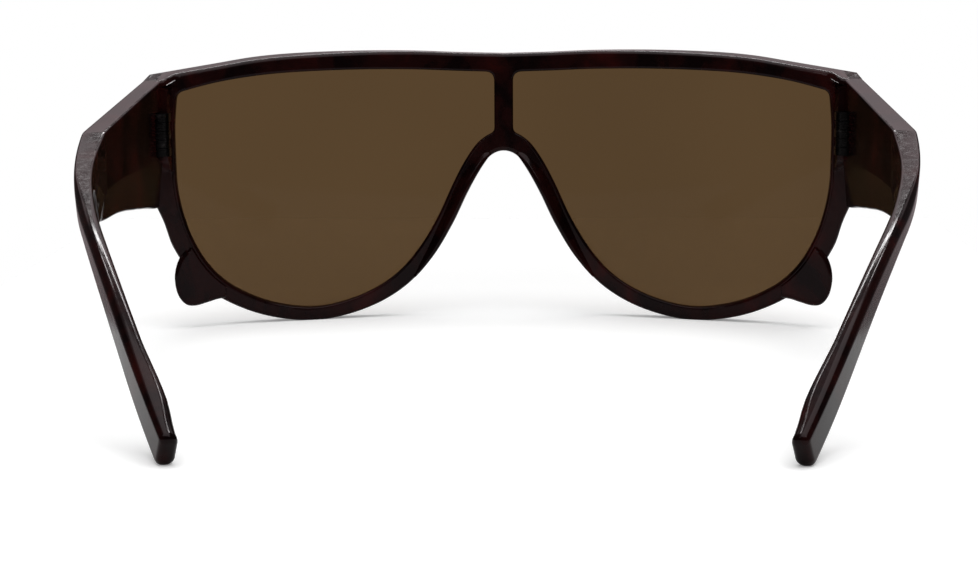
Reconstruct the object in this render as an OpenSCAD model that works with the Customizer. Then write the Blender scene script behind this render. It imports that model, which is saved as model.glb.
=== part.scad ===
// Shield sunglasses: a one-piece brown lens in a dark tortoise acetate front, on two deep
// temples that fold on barrel hinges. Millimetres, +Z up. The glasses stand open, as on a
// table, on the bottoms of the rims and the tips of the temples. The front looks along -Y,
// the wearer's left is +X, and the origin is under the middle of the whole object.

/* [Front] */
// Width of the front over its ends
front_w = 147.6; // [140:0.2:156]
// Radius of the wrap at the front's back face
wrap_r = 135; // [120:1:170]
// Thickness of the acetate front
front_t = 4.2; // [3.8:0.1:5]
// Width of the front's end beside a window, where the hinge sits
end_w = 5.9; // [5:0.1:8]
// Height of the brow bar over the windows
brow_h = 3.9; // [3:0.1:6]
// Width of the rim at the lowest point
rim_bottom_w = 2.9; // [2.4:0.1:4]
// Width of the rim beside the nose
rim_nose_w = 3.4; // [3:0.1:4]
// Width of the rim over the nose arch
rim_arch_w = 3.9; // [3.2:0.1:5]
// Width of the rim at the lower outer side
rim_side_w = 4; // [3.2:0.1:4.6]

/* [Windows and lens] */
// Height of one window
window_h = 50.6; // [46:0.1:54]
// Width of the bar between the windows
bar_w = 4; // [3:0.1:6]
// Thickness of the lens
lens_t = 2; // [1.6:0.1:2.2]
// How far the lens reaches past the window's edge
rebate_w = 1; // [0.6:0.1:1.4]

/* [Nose pads and side tabs] */
// How far a nose pad stands off the back face
pad_h = 2.4; // [1.5:0.1:3.5]
// Width of a nose pad where it sits on the rim
pad_w = 2.7; // [2:0.1:2.8]
// Width of a side tab's outline
tab_w = 10.2; // [9:0.1:11]
// Height of a side tab's outline
tab_h = 12; // [10.5:0.1:13]
// Step of the side tab over the back face
tab_step = 0.6; // [0.4:0.1:1]

/* [Temples] */
// Depth of the temple at the hinge
temple_front_d = 27; // [24:0.5:29]
// Depth of the slim arm behind the mitred bend
temple_arm_d = 4.4; // [4:0.1:6]
// Depth of the arm at the tip
temple_tip_d = 6.8; // [5:0.1:8]
// Thickness of the temple at the hinge
temple_front_t = 3.9; // [3.7:0.1:4.6]
// Thickness of the temple at the mitred bend
temple_bend_t = 4.6; // [4:0.1:5.2]
// Thickness of the slim arm
temple_arm_t = 3.1; // [2.8:0.1:3.8]
// Thickness of the arm where it swells before the tip
temple_ear_t = 3.8; // [3.2:0.1:4.2]
// Thickness of the arm at the tip
temple_tip_t = 3.1; // [2.8:0.1:3.6]
// Outward angle of the temple from the hinge to the mitred bend
flare = 10; // [6:0.5:12]
// Distance from the hinge back to the mitred bend
bend_run = 33; // [28:0.5:38]
// Downward slope of the top edge before the mitred bend
front_slope = 12.9; // [12:0.1:16]
// Downward slope of the top edge behind the mitred bend
arm_slope = 15.6; // [14:0.1:18]
// Length of the straight top edge behind the mitred bend
arm_run = 43; // [36:1:50]
// Radius of the bend over the ear
ear_r = 165; // [120:5:220]
// Angle of the bend over the ear
ear_bend = 15.5; // [13:0.5:18]
// Radius, seen from above, at which the slim arm curves in
inward_r = 152; // [130:2:180]
// Radius, seen from above, at which the end over the ear curves in
ear_inward_r = 400; // [300:5:500]

/* [Hinges] */
// Radius of the hinge barrel
barrel_r = 2; // [1.7:0.05:2.1]
// Height of the hinge barrel
barrel_h = 8.7; // [7.5:0.1:9.5]
// Height of the barrel's lower end over the table
barrel_z = 36.9; // [35.5:0.1:37.5]
// Radius of the hinge screw
screw_r = 0.7; // [0.5:0.05:0.8]
// Length of the leaf that is sunk in the temple
leaf_l = 12; // [9:0.5:14]
// Thickness of both hinge leaves
leaf_t = 1; // [0.8:0.05:1.1]

/* [Hidden] */
$fn = 96;

// Overrun of every cut
over = 1;
// Colours
acetate = [0.16, 0.07, 0.06];
lens_brown = [0.34, 0.26, 0.18];
gunmetal = [0.2, 0.2, 0.21];

// Clearances and small sizes of the front
lens_gap = 0.05;       // round the lens in its rebate
lens_sink = 0.1;       // of the lens below the front face
tab_lip = 0.5;         // bare rim between a side tab and the window
tab_front_sink = 0.8;  // of a side tab's front below the front face
rest_cut = 0.15;       // depth of the flats that the glasses stand on
lug_margin = 0.5;      // wall between the window and the lug that holds the hinge
lug_drop = 4;          // length of the slope under a lug
lug_under = 1;         // of the lug below the hinge leaf
corner_cut = 1.2;      // rounding of a window's corners
bar_cut = 0.5;         // rounding where the bar meets the rims
joint_gap = 0.15;      // between the front's end and the temple
temple_inset = 0.2;    // of the temple's outer face from the front's end
end_fall = 1.1;        // of the temple's top edge below the front's corner
plate_inset = 0.3;     // of a hinge leaf's edge from the front's end
slope_drop = 0.1;      // of the slope on the front's end below its corner
slope_wider = 0.25;    // of that slope over the temple's thickness
barrel_inset = 0.04;   // of the hinge's axis from the temple's inner face

// Places that follow from the front's sizes
end_x = front_w / 2;
window_x = bar_w / 2;
window_w = end_x - end_w - window_x;
window_z = rim_bottom_w - rest_cut;
lens_seat_r = wrap_r + front_t - lens_t - lens_sink;
joint_y = wrap_r - sqrt(wrap_r * wrap_r - end_x * end_x);

// The window's top edge from the bar outward, in shares of its width and height
window_top_shares = [[0, 0.985], [0.121, 0.99], [0.273, 0.998], [0.455, 1],
  [0.637, 0.994], [0.759, 0.982], [0.88, 0.958], [0.992, 0.921]];
// Its side, bottom and nose edge from the outer corner round to the bar's foot
window_low_shares = [[0.992, 0.921], [1, 0.79], [1, 0.648], [0.997, 0.536],
  [0.983, 0.427], [0.957, 0.318], [0.913, 0.208], [0.85, 0.119], [0.759, 0.049],
  [0.668, 0.012], [0.577, 0], [0.478, 0.024], [0.387, 0.073], [0.31, 0.144],
  [0.243, 0.247], [0.185, 0.374], [0.138, 0.506], [0.1, 0.601], [0.062, 0.674],
  [0.03, 0.711], [0, 0.731]];
// How the rim's width runs along that lower edge, from the side (0) to the bottom (1),
// and from the bottom (0) past the nose (1) to the arch (2)
rim_side_shares = [0, 0, 0.3, 0.6, 0.82, 0.95, 1];
rim_nose_shares = [0, 0.25, 0.6, 0.85, 1, 1, 1.2, 1.5, 1.7, 1.9, 2];
// How many of the lower edge's points come before the rim, and before the bottom
side_point_count = 4;
bottom_point_count = 10;

// Steps drawn between two points of an outline
curve_steps = 3;

// A point a share t of the way from b to c on the smooth curve through a, b, c and d
function spline(a, b, c, d, t) =
  let (t2 = t * t, t3 = t2 * t)
  (2 * b + (c - a) * t + (2 * a - 5 * b + 4 * c - d) * t2
    + (3 * b - a - 3 * c + d) * t3) / 2;

// A smooth open curve through the points p
function smooth(p, steps) =
  let (n = len(p))
  [for (i = [0 : n - 2], k = [0 : steps - 1])
    spline(p[max(i - 1, 0)], p[i], p[i + 1], p[min(i + 2, n - 1)], k / steps),
   p[n - 1]];

// The value at place x in a table of [place, value] pairs, eased between them
function eased(table, x) =
  x <= table[0][0] ? table[0][1] :
  x >= table[len(table) - 1][0] ? table[len(table) - 1][1] :
  let (
    i = max([for (k = [0 : len(table) - 2]) if (table[k][0] <= x) k]),
    n = len(table) - 1,
    t = (x - table[i][0]) / (table[i + 1][0] - table[i][0])
  )
  spline(table[max(i - 1, 0)][1], table[i][1], table[i + 1][1],
    table[min(i + 2, n)][1], t);

// Part of a list, from the item at a to the one at b
function part(list, a, b) = [for (i = [a : 1 : b]) list[i]];
function turned(list) = [for (i = [len(list) - 1 : -1 : 0]) list[i]];
function mirrored(list) = [for (p = list) [-p[0], p[1]]];
function unit(v) = v / norm(v);
function mix(a, b, t) = a + (b - a) * t;

// Points pushed outward, where the line runs clockwise, each by its own width
function grown(p, widths) =
  let (n = len(p))
  [for (i = [0 : n - 1])
    let (d = unit(p[min(i + 1, n - 1)] - p[max(i - 1, 0)]))
    p[i] + widths[i] * [-d[1], d[0]]];
function level(n, w) = [for (i = [1 : n]) w];

// A corner at b rounded over the length cut towards a and c
function rounded(a, b, c, cut) =
  let (p = b + cut * unit(a - b), q = b + cut * unit(c - b))
  [for (t = [0 : 0.25 : 1]) (1 - t) * (1 - t) * p + 2 * t * (1 - t) * b + t * t * q];

function at_window(shares) =
  [for (s = shares) [window_x + s[0] * window_w, window_z + s[1] * window_h]];
window_top = smooth(at_window(window_top_shares), curve_steps);
window_low = smooth(at_window(window_low_shares), curve_steps);

// One window's edge, clockwise, with its three corners rounded
window_points = let (
    a = window_top, b = window_low, m = len(a), n = len(b)
  )
  concat(
    rounded(b[n - 1], a[0], a[1], corner_cut),
    part(a, 2, m - 2),
    rounded(a[m - 2], a[m - 1], b[1], corner_cut),
    part(b, 2, n - 2),
    rounded(b[n - 2], b[n - 1], a[0], bar_cut)
  );

// Half of an outline that spans both windows, grown by w and closed over the bar
function span_half(w) =
  let (
    a = grown(part(window_top, 1, len(window_top) - 1), level(len(window_top), w)),
    b = grown(part(window_low, 0, len(window_low) - 3), level(len(window_low), w))
  )
  concat([[0, a[0][1]]], a, b, [[0, window_low[len(window_low) - 1][1] - w]]);
function whole(half) = concat(half, turned(mirrored(part(half, 1, len(half) - 2))));

// The rim's width at each point of the lower edge, from the side to the arch
rim_widths = [
  for (s = rim_side_shares) mix(rim_side_w, rim_bottom_w, s),
  for (s = part(rim_nose_shares, 1, len(rim_nose_shares) - 1))
    s <= 1 ? mix(rim_bottom_w, rim_nose_w, s) : mix(rim_nose_w, rim_arch_w, s - 1),
];
window_low_corners = at_window(window_low_shares);
rim_line = grown(
  part(window_low_corners, side_point_count, len(window_low_corners) - 1), rim_widths);
arch_z = window_low_corners[len(window_low_corners) - 1][1] - rim_arch_w;
brow_corners = at_window(window_top_shares);
brow_line = grown(part(brow_corners, 0, len(brow_corners) - 2),
  level(len(brow_corners), brow_h));

// The front's end: a bevelled corner at the top, then straight down beside the hinge
end_bevel = [1, 2.4];
end_top_z = mix(window_z, window_z + window_h, 0.997);
end_low_z = window_low_corners[3][1] + lug_under;
end_line = [
  [end_x - end_bevel[0], end_top_z],
  [end_x, end_top_z - end_bevel[1]],
  [end_x, end_low_z],
];

// Half of the front's outline, clockwise from over the bar to the top of the nose arch
brow_top = smooth(concat([[0, brow_line[0][1]]], part(brow_line, 1, len(brow_line) - 1),
  [end_line[0]]), curve_steps);
rim_low = smooth(concat([end_line[2]], part(rim_line, 0, len(rim_line) - 2),
  [[0, arch_z]]), curve_steps);
front_half = concat(
  part(brow_top, 0, len(brow_top) - 2),
  [end_line[0], end_line[1]],
  rim_low
);

// The hinge's axis: its barrel stands just behind the joint, at the temple's inner face
barrel_gap = 0.1;
axis_x = end_x - temple_front_t - barrel_inset;
axis_y = joint_y + barrel_r + barrel_gap;
knuckles = 5;
knuckle_gap = 0.1;
knuckle_h = (barrel_h - (knuckles - 1) * knuckle_gap) / knuckles;
screw_clear = 0.04;
head_r = 1.25;
head_h = 0.7;
head_slot = 0.3;
slot_clear = 0.25;
plate_w = 4.6;
plate_x = end_x - plate_inset - plate_w;
stud_r = 0.6;
stud_l = 1.8;
stud_share = 0.25;
leaf_sink = 1.2;
leaf_margin_share = 0.18;
leaf_end_gap = 0.1;

// Corners of the temple's cross-section
edge_r = 0.9;
low_edge_r = 0.8;
inner_taper = 0.9;
outer_taper = 0.9;
tip_low_r = 2;
tip_top_r = 0.8;
// Larger roundings that the cross-section has at the tip
tip_inner_r = 1.8;
tip_under_r = 1.2;

// The temple's outer top edge at the joint
temple_x = end_x - temple_inset;
temple_y = joint_y + joint_gap;
temple_z = end_top_z - end_fall;

// Run along the top edge, seen from above: the bend, the arm's straight, the ear bend
arm_plan = arm_run * cos(arm_slope);
ear_plan = ear_r * (sin(arm_slope + ear_bend) - sin(arm_slope));
end_angle = arm_slope + ear_bend;
bend_plan = bend_run / cos(flare);
bend_z = temple_z - bend_plan * tan(front_slope);
arm_end_z = bend_z - arm_run * sin(arm_slope);
ear_end_z = arm_end_z - ear_r * (cos(arm_slope) - cos(end_angle));
// The last straight runs on until the tip stands on the table
tip_z = tip_low_r + (temple_tip_d - tip_low_r) * cos(end_angle) - rest_cut;
tail_plan = (ear_end_z - tip_z) / tan(end_angle);
full_plan = bend_plan + arm_plan + ear_plan + tail_plan;

// Height and downward slope of the top edge at the run s
function top_z(s) =
  s <= bend_plan ? temple_z - s * tan(front_slope) :
  s <= bend_plan + arm_plan ? bend_z - (s - bend_plan) * tan(arm_slope) :
  s <= full_plan - tail_plan ?
    let (q = s - bend_plan - arm_plan + ear_r * sin(arm_slope))
    arm_end_z - ear_r * cos(arm_slope) + sqrt(ear_r * ear_r - q * q) :
  ear_end_z - (s - full_plan + tail_plan) * tan(end_angle);
function slope(s) =
  s <= bend_plan ? front_slope :
  s <= bend_plan + arm_plan ? arm_slope :
  s <= full_plan - tail_plan ?
    asin((s - bend_plan - arm_plan + ear_r * sin(arm_slope)) / ear_r) :
  end_angle;

// Heading of the outer face seen from above, outward of +Y, and the face's place
turn_in = 3;
arm_turn = turn_in + arm_plan / inward_r * 180 / PI;
function heading(s) =
  s < bend_plan ? flare :
  s < bend_plan + arm_plan ? -turn_in - (s - bend_plan) / inward_r * 180 / PI :
  -arm_turn - (s - bend_plan - arm_plan) / ear_inward_r * 180 / PI;
// Where an arc of radius r that starts at p with the heading h0 has come to the heading h
function arc_place(p, r, h0, h) = p + r * [cos(h) - cos(h0), sin(h0) - sin(h)];
bend_place = [temple_x + bend_plan * sin(flare), temple_y + bend_plan * cos(flare)];
arm_end_place = arc_place(bend_place, inward_r, -turn_in, -arm_turn);
function plan_place(s) =
  s <= bend_plan ? [temple_x + s * sin(flare), temple_y + s * cos(flare)] :
  s <= bend_plan + arm_plan ? arc_place(bend_place, inward_r, -turn_in, heading(s)) :
  arc_place(arm_end_place, ear_inward_r, -arm_turn, heading(s));
function top_place(s) = let (p = plan_place(s)) [p[0], p[1], top_z(s)];

// How the temple's depth falls behind the hinge: shares of the run, shares of the fall
depth_shares = [[0, 1], [0.094, 0.783], [0.164, 0.668], [0.22, 0.606], [0.259, 0.577],
  [0.285, 0.545], [0.313, 0.38], [0.344, 0.195], [0.376, 0.06], [0.415, 0.005], [0.46, 0]];
function depth(s) =
  temple_arm_d + (temple_front_d - temple_arm_d) * eased(depth_shares, s / full_plan)
    + (temple_tip_d - temple_arm_d)
      * max(s - bend_plan - arm_plan, 0) / (full_plan - bend_plan - arm_plan);
// How the thickness falls behind the mitred bend: shares of the way to the tip
thin_share = 0.4;
slim_share = 0.8;
ear_share = 0.93;
function thickness(s) =
  s <= bend_plan ? mix(temple_front_t, temple_bend_t, s / bend_plan) :
  let (t = (s - bend_plan) / (full_plan - bend_plan))
  eased([[0, temple_bend_t], [thin_share / 2, mix(temple_arm_t, temple_bend_t, 0.25)],
    [thin_share, temple_arm_t], [slim_share, temple_arm_t], [ear_share, temple_ear_t],
    [1, temple_tip_t]], t);

// How far the cross-section has turned from upright and square to the joint's plane
settle_share = 0.6;
function square_share(s) = min(s / (settle_share * leaf_l), 1);
function lean_share(s) =
  let (t = min(max((s - bend_plan) / (0.5 * arm_plan), 0), 1)) t * t * (3 - 2 * t);

// The cross-section in [from the outer face inward, down from the top]
function section(t, d, tapers, ridge, r, in_r, low_r) = concat(
  [for (a = [0 : 30 : 90]) [r - r * cos(a), r - r * sin(a)]],
  [for (a = [0 : 30 : 90]) [t - in_r + in_r * sin(a), in_r - in_r * cos(a)]],
  [[t, ridge]],
  [for (a = [0 : 30 : 90])
    [t - tapers[0] - low_r + low_r * cos(a), d - low_r + low_r * sin(a)]],
  [for (a = [0 : 30 : 90]) [tapers[1] + low_r - low_r * sin(a), d - low_r + low_r * cos(a)]]
);
// How far the roundings have grown on the way to the tip
function round_share(s) =
  let (t = min(max((s / full_plan - ear_share) / (1 - ear_share) + 1, 0) / 2, 1)) t * t;

// The directions of the cross-section at the run s: inward, and down
function face_turn(s) =
  abs(s - bend_plan) < 0.001 * bend_plan ? (flare - turn_in) / 2
    : heading(s) * (s < bend_plan ? square_share(s) : 1);
function inward(s) = let (h = face_turn(s)) [-cos(h), sin(h), 0];
function downward(s) =
  let (h = face_turn(s), a = slope(s) * lean_share(s))
  [-sin(a) * sin(h), -sin(a) * cos(h), -cos(a)];
function onward(s) =
  let (h = face_turn(s), a = slope(s))
  [cos(a) * sin(h), cos(a) * cos(h), -sin(a)];

function ring(s) =
  let (
    d = depth(s),
    deep = eased(depth_shares, s / full_plan),
    t = thickness(s),
    full = min(deep * 2, 1),
    flared = min(s / bend_plan, 1),
    k = round_share(s)
  )
  [for (p = section(t, d, [inner_taper * full, outer_taper * full * flared * flared],
      d * mix(0.7, 0.6, deep), edge_r, mix(edge_r, tip_inner_r, k),
      mix(low_edge_r, tip_under_r, k)))
    top_place(s) + p[0] * inward(s) + p[1] * downward(s)];

// The rings that round the tip, k being their share of the way to its end
function tip_ring(share) =
  let (
    reach = share * tip_low_r,
    rise = tip_low_r - sqrt(tip_low_r * tip_low_r - reach * reach),
    late = max(reach - (tip_low_r - tip_top_r), 0),
    fall = tip_top_r - sqrt(tip_top_r * tip_top_r - late * late),
    s = full_plan,
    t = thickness(s) - 2 * fall,
    d = temple_tip_d - rise - fall,
    k = 1 - fall / (2 * tip_top_r)
  )
  [for (p = section(t, d, [0, 0], d * 0.7, edge_r * k, tip_inner_r * k, tip_under_r * k))
    top_place(s) + reach * onward(s) + (p[0] + fall) * inward(s)
      + (p[1] + fall) * downward(s)];

// Runs at which a ring is drawn
function run_list() = concat(
  [for (i = [0 : 9]) bend_plan * i / 10],
  [for (i = [0 : 15]) bend_plan + arm_plan * i / 16],
  [for (i = [0 : 15]) bend_plan + arm_plan + ear_plan * i / 16],
  [for (i = [0 : 2]) full_plan - tail_plan * (1 - i / 2)]
);
temple_rings = concat(
  [for (s = run_list()) ring(s)],
  [for (k = [0.3, 0.55, 0.75, 0.88, 0.96, 1]) tip_ring(k)]
);

// A closed solid through rings of the same count, each drawn the same way round
module loft(rings) {
  n = len(rings[0]);
  m = len(rings);
  polyhedron(
    points = [for (r = rings) for (p = r) p],
    faces = concat(
      [[for (i = [0 : n - 1]) i]],
      [for (j = [0 : m - 2]) for (i = [0 : n - 1]) for (f = [0, 1])
        let (a = j * n + i, b = j * n + (i + 1) % n)
        f == 0 ? [a, a + n, b] : [b, a + n, b + n]],
      [[for (i = [n - 1 : -1 : 0]) (m - 1) * n + i]]
    )
  );
}

// The whole object is moved back so that the origin lies under its middle
y_back = max([for (r = temple_rings) for (p = r) p[1]]);
y_mid = (y_back - front_t) / 2;
module placed() { translate([0, -y_mid, 0]) children(); }
module on_side(side) {
  placed() if (side > 0) children(); else mirror([1, 0, 0]) children();
}

// An outline of x and z drawn through the front from y0 to y1
module through(points, y0, y1) {
  translate([0, y1, 0]) rotate([90, 0, 0]) linear_extrude(height = y1 - y0) polygon(points);
}
front_y = -front_t - over;
back_y = joint_y + over;
full_h = window_z + window_h + 2 * brow_h;

// An upright round bar about the wrap's axis
module wrap_bar(r) {
  translate([0, wrap_r, -over]) cylinder(r = r, h = full_h + 2 * over, $fn = 360);
}
// The space between two radii of the wrap
module wrap_shell(r0, r1) {
  difference() {
    wrap_bar(r1);
    wrap_bar(r0);
  }
}

// The lug behind each end of the front, which the hinge's front leaf is sunk in
lug_x = window_x + window_w + lug_margin;
lug_z = barrel_z - lug_under;
module lug_room() {
  translate([lug_x, 0, 0]) rotate([90, 0, 90])
    linear_extrude(height = end_x - lug_x + over)
      polygon([[front_y, lug_z - lug_drop], [joint_y - front_t, lug_z - lug_drop],
        [joint_y, lug_z], [joint_y, full_h + over], [front_y, full_h + over]]);
}

// The slope on top of each end of the front, which the temple's top edge carries on
module end_slope_room() {
  slope_y = wrap_r - sqrt(pow(wrap_r + front_t, 2) - end_line[0][0] * end_line[0][0]);
  translate([end_x - temple_front_t - slope_wider, slope_y - over, end_top_z - slope_drop])
    rotate([-front_slope, 0, 0])
      cube([temple_front_t + slope_wider + over, joint_y, brow_h + over]);
}

module leaf_plate_room() {
  translate([plate_x, joint_y - leaf_t, barrel_z])
    cube([plate_w, leaf_t + over, barrel_h]);
  stud_places() cylinder(r = stud_r, h = stud_l + over);
}
module stud_places() {
  for (k = [stud_share, 1 - stud_share])
    translate([plate_x + plate_w / 2, joint_y - leaf_t, barrel_z + k * barrel_h])
      rotate([90, 0, 0]) children();
}

module front_frame() color(acetate) placed() {
  difference() {
    intersection() {
      through(whole(front_half), front_y, joint_y);
      wrap_bar(wrap_r + front_t);
    }
    difference() {
      wrap_bar(wrap_r);
      lug_room();
      mirror([1, 0, 0]) lug_room();
    }
    for (side = [0, 1]) mirror([side, 0, 0]) {
      through(window_points, front_y, back_y);
      leaf_plate_room();
      end_slope_room();
    }
    intersection() {
      through(whole(span_half(rebate_w + lens_gap)), front_y, back_y);
      wrap_shell(lens_seat_r, wrap_r + front_t + over);
    }
    translate([-end_x, front_y, -over]) cube([front_w, back_y - front_y, over]);
  }
}

module shield_lens() color(lens_brown) placed() {
  intersection() {
    through(whole(span_half(rebate_w)), front_y, back_y);
    wrap_shell(lens_seat_r, lens_seat_r + lens_t);
  }
}

// A nose pad is lofted along the rim's nose side, which it covers between two shares
// of the way from the bottom of the rim to the arch
pad_from_share = 0.34;
pad_to_share = 0.86;
pad_steps = 16;
pad_lift = 0.01;
nose_line = smooth(part(rim_line, bottom_point_count - side_point_count, len(rim_line) - 1), 4);
function pad_place(k) =
  let (i = mix(pad_from_share, pad_to_share, k) * (len(nose_line) - 1), a = floor(i))
  mix(nose_line[a], nose_line[a + 1], i - a);
function pad_across(k) =
  let (h = 1 / pad_steps, d = unit(pad_place(min(k + h, 1)) - pad_place(max(k - h, 0))))
  [d[1], -d[0]];
// The pad's cross-section in shares: across the rim from the nose, and off the back face
pad_shares = [[0, 0], [-0.12, 0.55], [-0.06, 0.88], [0.14, 1], [0.4, 0.92], [0.78, 0.45], [1, 0]];
function pad_swell(k) = max(pow(sin(180 * k), 0.7), 0.12);
function on_back(p, lift) =
  let (r = wrap_r - lift)
  [p[0], wrap_r - sqrt(r * r - p[0] * p[0]), p[1]];
function pad_ring(k) =
  let (e = pad_swell(k))
  [for (q = pad_shares)
    on_back(pad_place(k) + q[0] * pad_w * (q[0] < 0 ? e : sqrt(e)) * pad_across(k),
      pad_lift + q[1] * pad_h * e)];
module nose_pad(side) color(acetate) on_side(side)
  loft([for (j = [pad_steps : -1 : 0]) pad_ring(j / pad_steps)]);

// A side tab's outline, in shares of its width and height from its lower inner corner,
// clockwise from the seam at its top
tab_out_share = 1.008;
tab_up_share = 0.038;
tab_x = window_x + tab_out_share * window_w - tab_w;
tab_z = window_z + tab_up_share * window_h;
tab_shares = [[0.78, 1], [0.9, 0.87], [0.985, 0.66], [1, 0.44], [0.94, 0.2], [0.8, 0.035],
  [0.62, 0], [0.4, 0.04], [0.2, 0.085], [0.02, 0.1]];
tab_edge = smooth([for (s = tab_shares) [tab_x + s[0] * tab_w, tab_z + s[1] * tab_h]], 4);
tab_points = concat(tab_edge,
  [[tab_x, tab_z + 0.45 * tab_h], [tab_x + 0.35 * tab_w, tab_z + 1.08 * tab_h]]);
window_lip = let (n = len(window_low))
  concat([[0, window_z + window_h]], [[window_low[0][0], window_z + window_h]],
    grown(window_low, level(n, tab_lip)), [[0, window_low[n - 1][1]]]);
module side_tab(side) color(acetate) on_side(side) {
  difference() {
    intersection() {
      through(tab_points, front_y, back_y);
      wrap_shell(wrap_r - tab_step, wrap_r + front_t - tab_front_sink);
    }
    through(window_lip, front_y - over, back_y + over);
    intersection() {
      through(whole(front_half), front_y - over, back_y + over);
      wrap_shell(wrap_r, wrap_r + 2 * front_t);
    }
  }
}

// The height of knuckle i's lower end
function knuckle_z(i) = barrel_z + i * (knuckle_h + knuckle_gap);

module on_axis(z) { translate([axis_x, axis_y, z]) children(); }
module screw_bore() {
  on_axis(barrel_z - over) cylinder(r = screw_r + screw_clear, h = barrel_h + 2 * over);
}

module hinge_front_leaf(side) color(gunmetal) on_side(side) {
  difference() {
    union() {
      translate([plate_x, joint_y - leaf_t, barrel_z]) cube([plate_w, leaf_t, barrel_h]);
      stud_places() cylinder(r = stud_r, h = stud_l);
      for (i = [0 : 2 : knuckles - 1]) {
        on_axis(knuckle_z(i)) cylinder(r = barrel_r, h = knuckle_h);
        translate([axis_x - barrel_r, joint_y, knuckle_z(i)])
          cube([2 * barrel_r, axis_y - joint_y, knuckle_h]);
        translate([plate_x, joint_y - leaf_t / 2, knuckle_z(i)])
          cube([axis_x + barrel_r - plate_x, leaf_t, knuckle_h]);
      }
    }
    screw_bore();
    on_axis(barrel_z + barrel_h - head_h)
      cylinder(r = head_r + screw_clear, h = head_h + over);
  }
}

// The temple leaf is drawn with the axis as its origin and the temple's outer face ahead
module in_temple() {
  translate([axis_x, axis_y, 0]) rotate([0, 0, -flare]) children();
}
leaf_margin = leaf_margin_share * barrel_h;
module temple_leaf_plate(start, end) {
  translate([leaf_sink, start, barrel_z + leaf_margin])
    cube([leaf_t, end - start, barrel_h - 2 * leaf_margin]);
}
module hinge_temple_leaf(side) color(gunmetal) on_side(side) {
  difference() {
    union() {
      in_temple() temple_leaf_plate(barrel_r + slot_clear, leaf_l);
      for (i = [1 : 2 : knuckles - 1]) {
        on_axis(knuckle_z(i)) cylinder(r = barrel_r, h = knuckle_h);
        in_temple() translate([leaf_sink, 0, knuckle_z(i)])
          cube([leaf_t, 2 * barrel_r, knuckle_h]);
      }
    }
    screw_bore();
  }
}

module hinge_screw(side) color(gunmetal) on_side(side) {
  difference() {
    union() {
      on_axis(barrel_z) cylinder(r = screw_r, h = barrel_h - head_h / 2);
      on_axis(barrel_z + barrel_h - head_h) cylinder(r = head_r, h = head_h);
    }
    on_axis(barrel_z + barrel_h - head_h / 2)
      translate([-head_r - over, -head_slot / 2, 0])
        cube([2 * (head_r + over), head_slot, head_h]);
  }
}

// The core wire runs from the temple leaf's end to near the tip
core_w = 1;
core_h = 2;
core_stop_share = 0.93;
core_from = leaf_l + (axis_x - temple_x) * sin(flare) + (axis_y - temple_y) * cos(flare);
core_first_a = (temple_x - axis_x) * cos(flare) - (temple_y - axis_y) * sin(flare)
  - leaf_sink - leaf_t / 2;
core_first_b = top_z(core_from) - barrel_z - barrel_h / 2;
function core_ring(k) =
  let (
    s = mix(core_from, core_stop_share * full_plan, k),
    ease = min(k * 3, 1),
    e = ease * ease * (3 - 2 * ease),
    a = mix(core_first_a, thickness(s) / 2, e),
    b = mix(core_first_b, depth(s) / 2, e)
  )
  [for (q = [[-1, -1], [1, -1], [1, 1], [-1, 1]])
    top_place(s) + (a + q[0] * core_w / 2) * inward(s) + (b + q[1] * core_h / 2) * downward(s)];
core_steps = 28;
module core_wire() { loft([for (i = [core_steps : -1 : 0]) core_ring(i / core_steps)]); }
module temple_core(side) color(gunmetal) on_side(side) core_wire();

module temple(side) color(acetate) on_side(side) {
  difference() {
    loft(turned(temple_rings));
    on_axis(barrel_z - slot_clear)
      cylinder(r = barrel_r + slot_clear, h = barrel_h + 2 * slot_clear);
    translate([axis_x - 2 * barrel_r, joint_y - over, barrel_z - slot_clear])
      cube([3 * barrel_r + slot_clear, axis_y - joint_y + over, barrel_h + 2 * slot_clear]);
    in_temple() temple_leaf_plate(0, leaf_l + leaf_end_gap);
    core_wire();
    translate([0, joint_y, -over]) cube([2 * end_x, 2 * y_back, over]);
  }
}

front_frame();
shield_lens();
nose_pad(1);  // nose_pad_left
nose_pad(-1);  // nose_pad_right
side_tab(1);  // side_tab_left
side_tab(-1);  // side_tab_right
hinge_front_leaf(1);  // hinge_front_leaf_left
hinge_front_leaf(-1);  // hinge_front_leaf_right
hinge_temple_leaf(1);  // hinge_temple_leaf_left
hinge_temple_leaf(-1);  // hinge_temple_leaf_right
hinge_screw(1);  // hinge_screw_left
hinge_screw(-1);  // hinge_screw_right
temple(1);  // temple_left
temple(-1);  // temple_right
temple_core(1);  // temple_core_left
temple_core(-1);  // temple_core_right
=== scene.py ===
"""Shield sunglasses seen from behind, standing open on a pale table.

The glasses are measured in millimetres, in the drawing's own frame, and the finishes and the
studio in metres. Meshes are worked out as whole arrays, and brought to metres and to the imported
model's frame when they are made.
"""

import logging
import math
from dataclasses import dataclass
from enum import Enum
from typing import Any, Sequence

import bmesh
import bpy
import numpy as np
from mathutils import Matrix, Vector

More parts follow.
